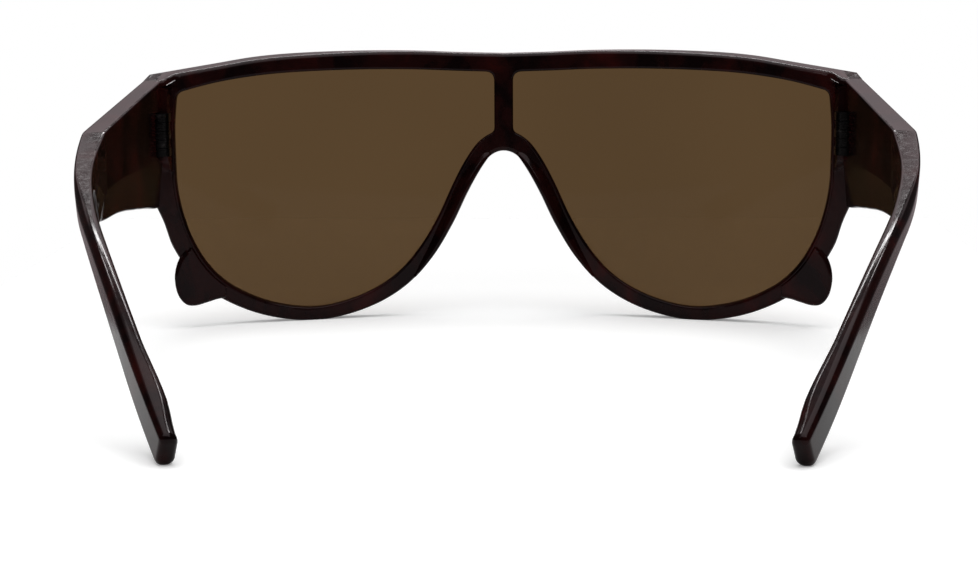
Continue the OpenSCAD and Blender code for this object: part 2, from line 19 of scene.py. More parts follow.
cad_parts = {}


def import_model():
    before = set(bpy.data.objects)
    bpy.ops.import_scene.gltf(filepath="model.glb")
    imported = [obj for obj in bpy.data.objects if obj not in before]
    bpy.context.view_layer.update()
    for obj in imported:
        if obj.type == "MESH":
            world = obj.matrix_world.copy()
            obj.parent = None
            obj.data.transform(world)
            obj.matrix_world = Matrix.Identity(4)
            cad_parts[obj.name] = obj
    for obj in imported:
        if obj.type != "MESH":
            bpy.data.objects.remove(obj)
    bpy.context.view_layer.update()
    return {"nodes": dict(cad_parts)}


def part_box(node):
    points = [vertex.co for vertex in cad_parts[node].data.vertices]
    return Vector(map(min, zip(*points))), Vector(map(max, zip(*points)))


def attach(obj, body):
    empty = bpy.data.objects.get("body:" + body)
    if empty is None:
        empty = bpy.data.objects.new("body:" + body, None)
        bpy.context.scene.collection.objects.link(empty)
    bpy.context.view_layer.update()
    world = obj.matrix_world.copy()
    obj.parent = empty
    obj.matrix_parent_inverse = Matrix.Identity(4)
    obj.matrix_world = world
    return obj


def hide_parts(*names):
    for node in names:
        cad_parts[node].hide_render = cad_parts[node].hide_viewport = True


LOG = logging.getLogger("sunglasses")
MM = 0.001
Colour = tuple[float, float, float]
Place = tuple[float, float, float]
Pair = tuple[float, float]
BLACK: Colour = (0.0, 0.0, 0.0)
WHITE: Colour = (1.0, 1.0, 1.0)


class Side(Enum):
    """The wearer's two sides, by the sign of x."""

    LEFT = 1
    RIGHT = -1

    @property
    def word(self) -> str:
        """The side's name as the nodes have it."""
        return self.name.lower()


# Node maths


class Link:
    """A socket that takes part in sums, each of which adds one Math node."""

    def __init__(self, board: "NodeBoard", socket: bpy.types.NodeSocket) -> None:
        """Keeps the socket and the board that its sums go to."""
        self.board = board
        self.socket = socket

    def _sum(self, operation: str, first: Any, second: Any) -> "Link":
        """A Math node of the two terms."""
        return self.board.add("ShaderNodeMath", {"operation": operation}, {0: first, 1: second})

    def __add__(self, other: Any) -> "Link":
        """self + other"""
        return self._sum("ADD", self, other)

    def __rsub__(self, other: Any) -> "Link":
        """other - self"""
        return self._sum("SUBTRACT", other, self)

    def __mul__(self, other: Any) -> "Link":
        """self * other"""
        return self._sum("MULTIPLY", self, other)

    def __pow__(self, other: Any) -> "Link":
        """self to the power other"""
        return self._sum("POWER", self, other)

    __radd__ = __add__
    __rmul__ = __mul__

    def largest(self, other: Any) -> "Link":
        """The larger of self and other."""
        return self._sum("MAXIMUM", self, other)


@dataclass(frozen=True)
class Noise:
    """A cloudy noise: how fine it is, in waves per metre, and how detailed, rough and bent."""

    scale: float
    detail: float = 3.0
    rough: float = 0.5
    bend: float = 0.0


class NodeBoard:
    """The node tree of one material or world, filled by one method."""

    def __init__(self, tree: bpy.types.NodeTree) -> None:
        """Empties the tree."""
        self.tree = tree
        tree.nodes.clear()

    def add(
        self,
        kind: str,
        settings: dict[str, Any] | None = None,
        values: dict[Any, Any] | None = None,
        out: Any = 0,
    ) -> Link:
        """One node of any kind.

        Args:
            kind: the node's type.
            settings: its own settings, among them "stops" of a ramp, as (place, colour) pairs.
            values: numbers, colours or links for its sockets, by name or number.
            out: which of its outputs is returned.

        Returns:
            The output as a link.
        """
        node = self.tree.nodes.new(kind)
        for name, value in (settings or {}).items():
            if name == "stops":
                stops = node.color_ramp.elements
                while len(stops) < len(value):
                    stops.new(0.5)
                for stop, (place, colour) in zip(stops, value):
                    stop.position = place
                    stop.color = (*colour, 1.0)
            else:
                setattr(node, name, value)
        for name, value in (values or {}).items():
            socket = node.inputs[name]
            if isinstance(value, Link):
                self.tree.links.new(value.socket, socket)
            elif isinstance(value, tuple) and socket.type == "RGBA":
                socket.default_value = (*value, 1.0)
            else:
                socket.default_value = value
        return Link(self, node.outputs[out] if node.outputs else None)

    def noise(self, place: Link, kind: Noise) -> Link:
        """Cloudy noise from 0 to 1.

        Args:
            place: where it is read.
            kind: which noise it is.

        Returns:
            The noise.
        """
        return self.add("ShaderNodeTexNoise", None, {
            "Vector": place, "Scale": kind.scale, "Detail": kind.detail,
            "Roughness": kind.rough, "Distortion": kind.bend})

    def ramp(self, value: Link, stops: Sequence[tuple[float, Colour]]) -> Link:
        """A colour for each value, eased between a ramp's stops.

        Args:
            value: what is looked up.
            stops: (place, colour) pairs, from low to high.

        Returns:
            The colour.
        """
        link = self.add("ShaderNodeValToRGB", {"stops": list(stops)}, {0: value})
        link.socket.node.color_ramp.interpolation = "EASE"
        return link

    def step(self, value: Link, low: float, high: float) -> Link:
        """0 below low, 1 above high, and smooth between them."""
        return self.add("ShaderNodeMapRange", {"interpolation_type": "SMOOTHSTEP"}, {
            "Value": value, "From Min": low, "From Max": high})

    def blend(self, share: Any, first: Any, second: Any) -> Link:
        """A colour a share of the way from the first to the second."""
        # The Mix node's colours are its inputs 6 and 7 and its output 2.
        return self.add("ShaderNodeMix", {"data_type": "RGBA"}, {0: share, 6: first, 7: second}, 2)

    def place(self, turn: Place = (0.0, 0.0, 0.0), stretch: Place = (1.0, 1.0, 1.0),
              shift: Place = (0.0, 0.0, 0.0)) -> Link:
        """Object coordinates, stretched, then turned, then shifted.

        Args:
            turn: angles about x, y and z, in radians.
            stretch: factors along x, y and z.
            shift: distances along x, y and z.

        Returns:
            The place.
        """
        spot = self.add("ShaderNodeTexCoord", None, None, "Object")
        return self.add("ShaderNodeMapping", None, {
            "Vector": spot, "Location": shift, "Rotation": turn, "Scale": stretch})

    def bump(self, height: Link, distance: float, strength: float) -> Link:
        """The normal of a surface that a height raises by up to a distance."""
        return self.add("ShaderNodeBump", None, {
            "Strength": strength, "Distance": distance, "Height": height})

    def principled(self, values: dict[str, Any]) -> None:
        """Sends a Principled surface to the material's output."""
        self.finish(self.add("ShaderNodeBsdfPrincipled", None, values))

    def finish(self, surface: Link, kind: str = "ShaderNodeOutputMaterial") -> None:
        """Sends a shader to the output."""
        self.add(kind, None, {"Surface": surface})


def new_material(name: str) -> tuple[bpy.types.Material, NodeBoard]:
    """An empty material and its board.

    Args:
        name: the material's name.

    Returns:
        The material and its board.
    """
    material = bpy.data.materials.new(name)
    material.use_nodes = True
    return material, NodeBoard(material.node_tree)


# Finishes


@dataclass(frozen=True)
class TortoiseAcetate:
    """Dark havana acetate: near-black brown with deep red clouds, polished, faintly waved."""

    dark: Colour = (0.0026, 0.0008, 0.0008)
    brown: Colour = (0.0085, 0.0017, 0.0015)
    ember: Colour = (0.019, 0.0024, 0.0020)
    stops: tuple[float, float, float] = (0.42, 0.54, 0.68)
    turn: Place = (0.3, 0.2, 0.5)
    stretch: Place = (1.0, 1.0, 0.7)
    shift: Place = (0.37, 0.11, 0.05)
    cloud: Noise = Noise(95.0, 2.0, 0.5, 0.9)
    fleck: Noise = Noise(260.0, 3.0, 0.55, 0.4)
    fleck_share: float = 0.28
    wear: Noise = Noise(900.0, 4.0, 0.6)
    wear_range: Pair = (0.35, 0.75)
    wear_rough: float = 0.08
    wear_share: float = 0.02
    waves: Noise = Noise(140.0, 1.0, 0.4)
    wave_height: float = 0.0006
    wave_strength: float = 0.05
    ior: float = 1.2
    gloss: float = 0.12
    sheen: Colour = (1.0, 0.84, 0.87)

    def material(self, name: str) -> bpy.types.Material:
        """Two sizes of cloud pick the colour, and fine noise moves gloss and surface.

        Args:
            name: the material's name.

        Returns:
            The material.
        """
        made, board = new_material(name)
        spot = board.place(self.turn, self.stretch, self.shift)
        cloud = board.noise(spot, self.cloud)
        fleck = board.noise(spot, self.fleck)
        mixed = cloud * (1 - self.fleck_share) + fleck * self.fleck_share
        colours = (self.dark, self.brown, self.ember)
        wear = board.noise(board.place(), self.wear)
        waves = board.noise(board.place(), self.waves)
        board.principled({
            "Base Color": board.ramp(mixed, [(0.0, self.dark), *zip(self.stops, colours)]),
            "Roughness": board.step(wear, *self.wear_range) * self.wear_rough + self.gloss,
            "IOR": self.ior, "Specular Tint": self.sheen,
            "Normal": board.bump(waves + wear * self.wear_share, self.wave_height,
                                 self.wave_strength)})
        return made


@dataclass(frozen=True)
class TintedLens:
    """Brown tint that the light passes through, under a thin even gloss."""

    tint: Colour = (0.295, 0.228, 0.155)
    paler: float = 1.05
    drift: Noise = Noise(14.0, 2.0)
    drift_range: Pair = (0.3, 0.7)
    ior: float = 1.1
    gloss: float = 0.05

    def material(self, name: str) -> bpy.types.Material:
        """A see-through tint, drifting a little, mixed with gloss by the Fresnel share.

        Args:
            name: the material's name.

        Returns:
            The material.
        """
        made, board = new_material(name)
        drift = board.noise(board.place(), self.drift)
        tint = board.blend(board.step(drift, *self.drift_range), self.tint,
                           tuple(c * self.paler for c in self.tint))
        through = board.add("ShaderNodeBsdfTransparent", None, {"Color": tint})
        shine = board.add("ShaderNodeBsdfGlossy", None, {"Color": WHITE, "Roughness": self.gloss})
        share = board.add("ShaderNodeFresnel", None, {"IOR": self.ior})
        board.finish(board.add("ShaderNodeMixShader", None, {0: share, 1: through, 2: shine}))
        return made


@dataclass(frozen=True)
class HingeMetal:
    """Black plated metal with fine turning marks and brighter worn patches."""

    colour: Colour = (0.004, 0.0032, 0.0032)
    worn: Colour = (0.035, 0.030, 0.030)
    thin: Noise = Noise(520.0, 2.0)
    thin_range: Pair = (0.55, 0.8)
    ring_stretch: Place = (1.0, 1.0, 9.0)
    rings: Noise = Noise(700.0, 3.0, 0.6)
    ring_height: float = 0.0003
    ring_strength: float = 0.08
    ring_rough: float = 0.16
    gloss: float = 0.2
    metallic: float = 0.85

    def material(self, name: str) -> bpy.types.Material:
        """Fine rings along z move the gloss, and noise shows where the plating is thin.

        Args:
            name: the material's name.

        Returns:
            The material.
        """
        made, board = new_material(name)
        marks = board.noise(board.place(stretch=self.ring_stretch), self.rings)
        thin = board.step(board.noise(board.place(), self.thin), *self.thin_range)
        board.principled({
            "Base Color": board.blend(thin, self.colour, self.worn), "Metallic": self.metallic,
            "Roughness": marks * self.ring_rough + self.gloss,
            "Normal": board.bump(marks, self.ring_height, self.ring_strength)})
        return made


@dataclass(frozen=True)
class DrawnWire:
    """Bright drawn steel, streaked along its length."""

    colour: Colour = (0.42, 0.42, 0.43)
    bright: Colour = (0.6, 0.6, 0.61)
    streak_stretch: Place = (6.0, 0.2, 6.0)
    streaks: Noise = Noise(500.0)
    streak_rough: float = 0.2
    gloss: float = 0.2

    def material(self, name: str) -> bpy.types.Material:
        """Noise stretched along y streaks the colour and the gloss.

        Args:
            name: the material's name.

        Returns:
            The material.
        """
        made, board = new_material(name)
        streak = board.noise(board.place(stretch=self.streak_stretch), self.streaks)
        board.principled({
            "Base Color": board.blend(streak, self.colour, self.bright), "Metallic": 1.0,
            "Roughness": streak * self.streak_rough + self.gloss})
        return made


@dataclass(frozen=True)
class PaleTable:
    """White table top that keeps the object's shadow, a shade less white behind it."""

    colour: Colour = (0.96, 0.96, 0.96)
    far: Colour = (0.80, 0.80, 0.80)
    far_y: Pair = (-0.13, -0.06)
    lift: Colour = (0.21, 0.21, 0.21)
    paler: float = 0.01
    grain: Noise = Noise(60.0)
    rough: float = 0.9

    def material(self, name: str) -> bpy.types.Material:
        """Matt white with a faint grain, blended along y, and lifted a little for the camera.

        Args:
            name: the material's name.

        Returns:
            The material.
        """
        made, board = new_material(name)
        grain = board.noise(board.place(), self.grain)
        near = board.blend(grain, self.colour, tuple(c + self.paler for c in self.colour))
        y = board.add("ShaderNodeSeparateXYZ", None, {0: board.place()}, "Y")
        camera = board.add("ShaderNodeLightPath", None, None, "Is Camera Ray")
        board.principled({
            "Base Color": board.blend(board.step(y, *self.far_y), self.far, near),
            "Roughness": self.rough, "Specular IOR Level": 0.0, "Emission Strength": 1.0,
            "Emission Color": board.blend(camera, BLACK, self.lift)})
        return made


# Curves and grids


def spline_at(points: np.ndarray, t: np.ndarray) -> np.ndarray:
    """Places on the smooth curve through the points.

    Each span is the uniform Catmull-Rom cubic of the four points round it, with the end points
    repeated.

    Args:
        points: (n, k) points of the curve.
        t: places on it, 0 at the first point and n - 1 at the last.

    Returns:
        (len(t), k) places.
    """
    n = len(points)
    i = np.clip(np.floor(t).astype(int), 0, n - 2)
    f = (t - i)[:, None]
    a, b = points[np.maximum(i - 1, 0)], points[i]
    c, d = points[i + 1], points[np.minimum(i + 2, n - 1)]
    return (2 * b + (c - a) * f + (2 * a - 5 * b + 4 * c - d) * f**2
            + (3 * b - a - 3 * c + d) * f**3) / 2


def eased(table: np.ndarray, x: np.ndarray) -> np.ndarray:
    """The values of a table of (place, value) pairs at the places x, eased between them."""
    # The share of the way between two places becomes the share along the spline of the values.
    t = np.interp(x, table[:, 0], np.arange(len(table)))
    return spline_at(table[:, 1:], t)[:, 0]


def unit(vectors: np.ndarray) -> np.ndarray:
    """Vectors of length one, or none at all for those that have none."""
    size = np.linalg.norm(vectors, axis=-1, keepdims=True)
    return vectors / np.maximum(size, 1e-12)


def outward(line: np.ndarray, closed: bool = False) -> np.ndarray:
    """Unit directions to the left of a line of points, square to it at each point.

    Args:
        line: (n, 2) points.
        closed: whether the last point is followed by the first.

    Returns:
        (n, 2) directions.
    """
    if closed:
        run = np.roll(line, -1, 0) - np.roll(line, 1, 0)
    else:
        run = np.gradient(line, axis=0)
    run = unit(run)
    return np.stack([-run[:, 1], run[:, 0]], 1)


def grown(points: np.ndarray, widths: np.ndarray | float) -> np.ndarray:
    """Points pushed out to the left by their own widths; ends use their one neighbour.

    Args:
        points: (n, 2) points of a line.
        widths: how far each goes, or all of them.

    Returns:
        (n, 2) points.
    """
    place, last = np.arange(len(points)), len(points) - 1
    run = unit(points[np.minimum(place + 1, last)] - points[np.maximum(place - 1, 0)])
    wide = np.broadcast_to(np.asarray(widths, float), len(points))[:, None]
    return points + wide * np.stack([-run[:, 1], run[:, 0]], 1)


def lengths(line: np.ndarray) -> np.ndarray:
    """Distance along a line at each of its points."""
    return np.concatenate([[0.0], np.cumsum(np.linalg.norm(np.diff(line, axis=0), axis=1))])


def read_off(line: np.ndarray, at: np.ndarray, want: np.ndarray | float) -> np.ndarray:
    """Points of a line, straight between neighbours, where its measure has the values wanted."""
    return np.stack([np.interp(want, at, values) for values in line.T], -1)


def along(line: np.ndarray, share: np.ndarray) -> np.ndarray:
    """Places at shares of a line's length."""
    s = lengths(line)
    return read_off(line, s, share * s[-1])


def smooth_share(value: np.ndarray, first: float, last: float) -> np.ndarray:
    """0 before the first, 1 after the last, and 3 k^2 - 2 k^3 at the share k between them."""
    share = np.clip((value - first) / (last - first), 0, 1)
    return share * share * (3 - 2 * share)


def in_space(flat: np.ndarray, y: np.ndarray) -> np.ndarray:
    """Flat (x, z) points at their places in space."""
    return np.stack([flat[..., 0], y, flat[..., 1]], -1)


def soft_corner(loop: np.ndarray, at: int, cut: float) -> np.ndarray:
    """A closed loop with the corner at one of its points rounded.

    Points less than the cut from the corner move on to the parabola that touches the loop where
    the cut ends, at the share of it that their distance gives.

    Args:
        loop: (n, 2) points.
        at: the corner's number.
        cut: distance from the corner to each end of the rounding.

    Returns:
        (n, 2) points.
    """
    mid = len(loop) // 2
    line = np.roll(loop, mid - at, axis=0)
    s = lengths(line)
    gap = s - s[mid]
    corner = line[mid]
    before, after = read_off(line, gap, -cut), read_off(line, gap, cut)
    t = np.clip((gap + cut) / (2 * cut), 0, 1)[:, None]
    curve = (1 - t) ** 2 * before + 2 * t * (1 - t) * corner + t * t * after
    line = np.where(np.abs(gap)[:, None] < cut, curve, line)
    return np.roll(line, at - mid, axis=0)


def smooth_end(line: np.ndarray, reach: float, run: float, steps: int = 21) -> np.ndarray:
    """A line that ends square to x = 0, smoothed near that end.

    Each point within the run of x = 0 moves to the mean of the places up to the reach before and
    after it, on the line and its mirror image. The shift fades out over the run.

    Args:
        line: (n, 2) points, the last of them at x = 0.
        reach: how far the mean looks each way.
        run: where the smoothing ends.
        steps: places in each mean.

    Returns:
        (n, 2) points.
    """
    whole = np.vstack([line, line[-2::-1] * [-1, 1]])
    s = lengths(whole)
    near = s[:len(line), None] + np.linspace(-reach, reach, steps)
    share = np.clip(2 - 2 * line[:, :1] / run, 0, 1)
    return line + share * (read_off(whole, s, near).mean(1) - line)


def grid_faces(rows: int, columns: int, wrap_rows: bool, wrap_columns: bool) -> np.ndarray:
    """Quads between neighbouring points of a grid that is stored row by row.

    Args:
        rows: rows of the grid.
        columns: points in each row.
        wrap_rows: whether the last row is joined to the first.
        wrap_columns: whether the last column is joined to the first.

    Returns:
        (faces, 4) point numbers.
    """
    row = np.arange(rows if wrap_rows else rows - 1)[:, None]
    column = np.arange(columns if wrap_columns else columns - 1)[None, :]
    below, beside = (row + 1) % rows, (column + 1) % columns
    quads = [row * columns + column, below * columns + column, below * columns + beside,
             row * columns + beside]
    return np.stack(quads, -1).reshape(-1, 4)


def tube_faces(rings: int, points: int) -> list[list[int]]:
    """Faces of a tube of closed rings, with one face over each end."""
    ends = [list(range(points)), list(range((rings - 1) * points, rings * points))]
    return grid_faces(rings, points, False, True).tolist() + ends


def arc(first: float, last: float, steps: int) -> np.ndarray:
    """Angles in radians from one angle in degrees to another."""
    return np.radians(np.linspace(first, last, steps))


def quarter(steps: int) -> np.ndarray:
    """The sine and cosine of each angle from 0 to 90 degrees, as (steps, 2)."""
    turn = arc(0, 90, steps)
    return np.stack([np.sin(turn), np.cos(turn)], 1)


def in_scene(name: str, data: Any) -> bpy.types.Object:
    """A new object, linked to the scene.

    Args:
        name: the object's name.
        data: its mesh, lamp or camera.

    Returns:
        The object.
    """
    made = bpy.data.objects.new(name, data)
    bpy.context.scene.collection.objects.link(made)
    return made


@dataclass
class Workshop:
    """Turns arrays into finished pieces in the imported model's frame.

    Edges bent more than `sharp` degrees stay sharp, and points nearer than `weld` are one.
    """

    y_mid: float
    paints: dict[str, bpy.types.Material]
    sharp: float = 38.0
    cut_sharp: float = 30.0
    weld: float = 0.004

    def mesh(self, name: str, points: np.ndarray, faces: Sequence[Sequence[int]]) -> bpy.types.Mesh:
        """A mesh of points in the drawing's frame, in millimetres.

        Args:
            name: the mesh's name.
            points: places, in any grid of them.
            faces: lists of point numbers.

        Returns:
            The mesh.
        """
        made = bpy.data.meshes.new(name)
        placed = (np.asarray(points, float).reshape(-1, 3) - [0.0, self.y_mid, 0.0]) * MM
        made.from_pydata(placed.tolist(), [], [list(map(int, f)) for f in faces])
        return made

    def piece(self, name: str, points: np.ndarray, faces: Sequence[Sequence[int]], paint: str,
              body: str, nodes: Sequence[str]) -> bpy.types.Object:
        """One object with its place in its mesh.

        Args:
            name: the piece's name.
            points: places in the drawing's frame, in millimetres.
            faces: lists of point numbers.
            paint: the record's material slot.
            body: the CAD body that it rides on.
            nodes: the CAD nodes that it stands for.

        Returns:
            The object.
        """
        mesh = self.mesh(name, points, faces)
        work = bmesh.new()
        work.from_mesh(mesh)
        bmesh.ops.remove_doubles(work, verts=work.verts, dist=self.weld * MM)
        bmesh.ops.dissolve_degenerate(work, edges=work.edges, dist=self.weld * MM * 0.5)
        bmesh.ops.recalc_face_normals(work, faces=work.faces)
        work.to_mesh(mesh)
        work.free()
        mesh.shade_smooth()
        mesh.set_sharp_from_angle(angle=math.radians(self.sharp))
        made = in_scene(name, mesh)
        mesh.materials.append(self.paints[paint])
        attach(made, body)
        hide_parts(*nodes)
        LOG.info("%s: %d faces, for %s", name, len(mesh.polygons), ", ".join(nodes))
        return made

    def cut(self, piece: bpy.types.Object, points: np.ndarray,
            faces: Sequence[Sequence[int]]) -> None:
        """Takes a closed form away from a piece, for good.

        Args:
            piece: the object that is cut.
            points: the form's places.
            faces: its lists of point numbers.
        """
        mesh = self.mesh("cutter", points, faces)
        tool = in_scene("cutter", mesh)
        change = piece.modifiers.new("cut", "BOOLEAN")
        change.operation, change.object, change.solver = "DIFFERENCE", tool, "EXACT"
        graph = bpy.context.evaluated_depsgraph_get()
        done = bpy.data.meshes.new_from_object(piece.evaluated_get(graph))
        piece.modifiers.remove(change)
        old, piece.data = piece.data, done
        done.shade_smooth()
        done.set_sharp_from_angle(angle=math.radians(self.cut_sharp))
        bpy.data.objects.remove(tool)
        bpy.data.meshes.remove(old)
        bpy.data.meshes.remove(mesh)


# The front


@dataclass(frozen=True)
class FrontForm:
    """Sizes and lines of the acetate front, x outward from the middle and z up.

    The tables of shares are parts of the window's width and height. The top one runs outward
    over the brow, and the low one down the end, round the rim and up to the nose arch.
    """

    front_w: float = 147.6
    front_t: float = 4.2
    wrap_r: float = 135.0
    wrap_end: float = 90.0
    brow_h: float = 3.9
    brow_fall: float = 0.55
    brow_fall_x: Pair = (12.0, 62.0)
    bar_w: float = 4.0
    rim_bottom_w: float = 2.9
    rim_nose_w: float = 3.4
    rim_arch_w: float = 3.9
    rim_side_w: float = 4.0
    rest_cut: float = 0.15
    arch_reach: float = 2.2
    arch_run: float = 9.0
    window_h: float = 50.6
    window_corners: tuple[float, float, float] = (2.0, 1.4, 1.0)
    lens_t: float = 2.0
    lens_gap: float = 0.05
    lens_sink: float = 0.1
    rebate_w: float = 1.0
    rebate_ends: Pair = (0.3, 0.5)
    end_w: float = 5.9
    end_bevel: Pair = (1.0, 2.4)
    end_top_share: float = 0.997
    end_fall: float = 1.1
    end_fall_x: Pair = (68.0, 69.8)
    end_corner: Pair = (0.35, 0.6)
    foot_at: int = 3
    foot_rise: float = 1.0
    lug_margin: float = 0.5
    lug_gap: float = 0.08
    lug_drop: float = 4.0
    lug_foot_z: float = 35.9
    lug_blend: float = 0.25
    lug_most: float = 2.0
    top_steps: int = 78
    end_steps: int = 40
    rim_steps: int = 205
    bar_steps: int = 22
    turn_steps: int = 9
    turn_reach: float = 0.03
    end_close: int = 6
    close_shares: tuple = (.02, .05, .09, .14, .2, .27)
    top_shares: tuple = ((0, .985), (.121, .99), (.273, .998), (.455, 1), (.637, .994),
                         (.759, .982), (.88, .958), (.992, .921))
    low_shares: tuple = (
        (.992, .921), (1, .79), (1, .648), (.997, .536), (.983, .427), (.957, .318),
        (.913, .208), (.85, .119), (.759, .049), (.668, .012), (.577, 0), (.478, .024),
        (.387, .073), (.31, .144), (.243, .247), (.185, .374), (.138, .506), (.1, .601),
        (.062, .674), (.03, .711), (0, .731))
    side_widths: tuple = (0, 0, .3, .6, .82, .95, 1)
    nose_widths: tuple = (.25, .6, .85, 1, 1, 1.2, 1.5, 1.7, 1.9, 2)

    @property
    def end_x(self) -> float:
        """Half the front's width."""
        return self.front_w / 2

    @property
    def window_w(self) -> float:
        """Width of a window, left by the bar and the end."""
        return self.end_x - self.end_w - self.bar_w / 2

    @property
    def window_z(self) -> float:
        """Height of a window's lowest point."""
        return self.rim_bottom_w - self.rest_cut

    @property
    def seat_out(self) -> float:
        """How far the rebate's floor stands out from the back face."""
        return self.front_t - self.lens_t - self.lens_sink

    @property
    def joint_y(self) -> float:
        """Where the wrap's back face meets the front's end."""
        return float(self.wrap_y(np.array([self.end_x]), 0.0)[0])

    @property
    def end_top(self) -> np.ndarray:
        """The inner corner of the bevel at the top of the front's end."""
        return np.array([self.end_x - self.end_bevel[0],
                         self.window_z + self.end_top_share * self.window_h])

    @property
    def lug_top(self) -> float:
        """Height of the lug's top behind the front's end."""
        return self.end_top[1] - self.end_fall

    def wrap_y(self, x: np.ndarray, out: np.ndarray | float) -> np.ndarray:
        """y on the wrap: r - sqrt((r + out)^2 - x^2), with out measured from the back face."""
        flat = np.minimum(x * x, self.wrap_end**2)
        return self.wrap_r - np.sqrt((self.wrap_r + out) ** 2 - flat)

    def on_wrap(self, flat: np.ndarray, out: float, past: float = 0.0) -> np.ndarray:
        """Flat points laid on the wrap, a distance out from the back face, then moved along y."""
        return in_space(flat, self.wrap_y(flat[..., 0], out) + past)

    def at_window(self, shares: Sequence) -> np.ndarray:
        """Places of shares of the window's width and height."""
        return (np.array([self.bar_w / 2, self.window_z])
                + np.asarray(shares, float) * [self.window_w, self.window_h])

    def rim_knots(self) -> np.ndarray:
        """The rim's outer line from the foot of the front's end to the top of the nose arch.

        Returns:
            (n, 2) points, the first of them at the foot.
        """
        low = self.at_window(self.low_shares)
        side = self.rim_side_w + np.array(self.side_widths) * (self.rim_bottom_w - self.rim_side_w)
        nose = np.interp(self.nose_widths, [0, 1, 2],
                         [self.rim_bottom_w, self.rim_nose_w, self.rim_arch_w])
        line = grown(low[self.foot_at + 1:], np.concatenate([side, nose]))
        foot = [[self.end_x, low[self.foot_at, 1] + self.foot_rise]]
        return np.vstack([foot, line[:-1], [[0.0, low[-1, 1] - self.rim_arch_w]]])

    def brow_knots(self) -> np.ndarray:
        """The brow's top line from over the bar to the front's end."""
        line = grown(self.at_window(self.top_shares)[:-1], self.brow_h)
        return np.vstack([[[0.0, line[0, 1]]], line[1:], [self.end_top]])

    def end_line(self) -> np.ndarray:
        """The front's end: its bevel, then straight to the rim's foot."""
        bevel = np.array([self.end_bevel[0], -self.end_bevel[1]])
        return np.stack([self.end_top, self.end_top + bevel, self.rim_knots()[0]])

    def places(self) -> tuple[np.ndarray, np.ndarray, np.ndarray]:
        """Where the brow, the end and the rim are sampled, closer together near their corners.

        Returns:
            Places in the top table, shares of the end's length and places in the low table.
        """
        close = np.array(self.close_shares)
        top, low = len(self.top_shares) - 1, len(self.low_shares) - 1
        way = lengths(self.end_line())
        turn = way[1] / way[-1]
        return (
            np.unique(np.concatenate([close, np.linspace(0, top, self.top_steps), top - close])),
            np.unique(np.concatenate([
                close / self.end_close, np.linspace(0, 1, self.end_steps),
                turn + np.linspace(-self.turn_reach, self.turn_reach, self.turn_steps)])),
            np.unique(np.concatenate([
                np.linspace(self.foot_at, low, self.rim_steps), low - close])))

    def closed(self, parts: Sequence[np.ndarray]) -> np.ndarray:
        """Brow, end and rim as one loop, closed straight up the bar.

        Args:
            parts: the points of the brow, the end and the rim.

        Returns:
            (n, 2) points.
        """
        share = np.linspace(0, 1, self.bar_steps)[1:-1, None]
        share = 0.5 - 0.5 * np.cos(np.pi * share)
        low, high = parts[-1][-1], parts[0][0]
        return np.vstack([*parts, low + share * (high - low)])

    def brow_behind(self, brow: np.ndarray) -> np.ndarray:
        """The brow's top line on the back face.

        It falls below the line in front from the bar outward, and drops to the lug's top at the
        front's end.

        Args:
            brow: the brow's top line in front.

        Returns:
            As many points.
        """
        early = smooth_share(brow[:, :1], *self.brow_fall_x)
        late = smooth_share(brow[:, :1], *self.end_fall_x)
        line = brow - early * [0, self.brow_fall]
        line = line * (1 - late * [0, 1]) + late * [0, self.lug_top]
        line[:, 0] += (self.end_x - self.end_corner[0] - brow[-1, 0]) * late[:, 0] ** 4
        return line

    def rails(self) -> dict[str, np.ndarray]:
        """Matching closed loops for the right-hand window.

        The window's edge, the lens rebate's edge, and the front's outer edges before and behind
        are sampled at the same places: the brow, the end, the rim and the bar follow one another.

        Returns:
            The four loops, and under "sizes" where each stretch of them starts.
        """
        low = self.at_window(self.low_shares)
        t_top, t_end, t_low = self.places()
        window = [spline_at(self.at_window(self.top_shares), t_top),
                  spline_at(low, self.foot_at * t_end)[1:], spline_at(low, t_low)[1:]]
        sizes = np.cumsum([0, *map(len, window)])
        arch = smooth_end(spline_at(self.rim_knots(), t_low - self.foot_at), self.arch_reach,
                          self.arch_run)[1:]
        brow = spline_at(self.brow_knots(), t_top)
        outer = [brow, along(self.end_line(), t_end)[1:], arch]
        inset, drop = self.end_corner
        end_back = np.array([[self.end_x - inset, self.lug_top],
                             [self.end_x, self.lug_top - drop], self.rim_knots()[0]])
        behind = [self.brow_behind(brow), along(end_back, t_end)[1:], arch]
        seat = [grown(part, self.rebate_w + self.lens_gap) for part in window]
        seat[0][:, 0] *= np.clip(t_top / self.rebate_ends[0], 0, 1)
        seat[2][:, 0] *= np.clip((t_low[-1] - t_low[1:]) / self.rebate_ends[1], 0, 1)
        loop = self.closed(window)
        for at, cut in zip((0, sizes[1] - 1, sizes[3] - 1), self.window_corners):
            loop = soft_corner(loop, int(at), cut)
        return {"window": loop, "seat": self.closed(seat), "outer": self.closed(outer),
                "behind": self.closed(behind), "sizes": sizes}

    def back_y(self, flat: np.ndarray) -> np.ndarray:
        """y of the back face: the wrap, or the lug's wedge behind it near each end.

        The wedge stands at the joint plane above its foot and slopes forward below it. It fades
        in over a short blend beside the window.

        Args:
            flat: (x, z) points.

        Returns:
            y at each of them.
        """
        x, z = np.abs(flat[..., 0]), flat[..., 1]
        shell = self.wrap_y(x, 0.0)
        fall = np.clip((self.lug_foot_z - z) / self.lug_drop, 0, self.lug_most) * self.front_t
        wedge = self.joint_y - self.lug_gap - fall
        start = self.end_x - self.end_w + self.lug_margin
        share = smooth_share(x, start - self.lug_blend / 2, start + self.lug_blend / 2)
        return shell + share * np.maximum(wedge - shell, 0)


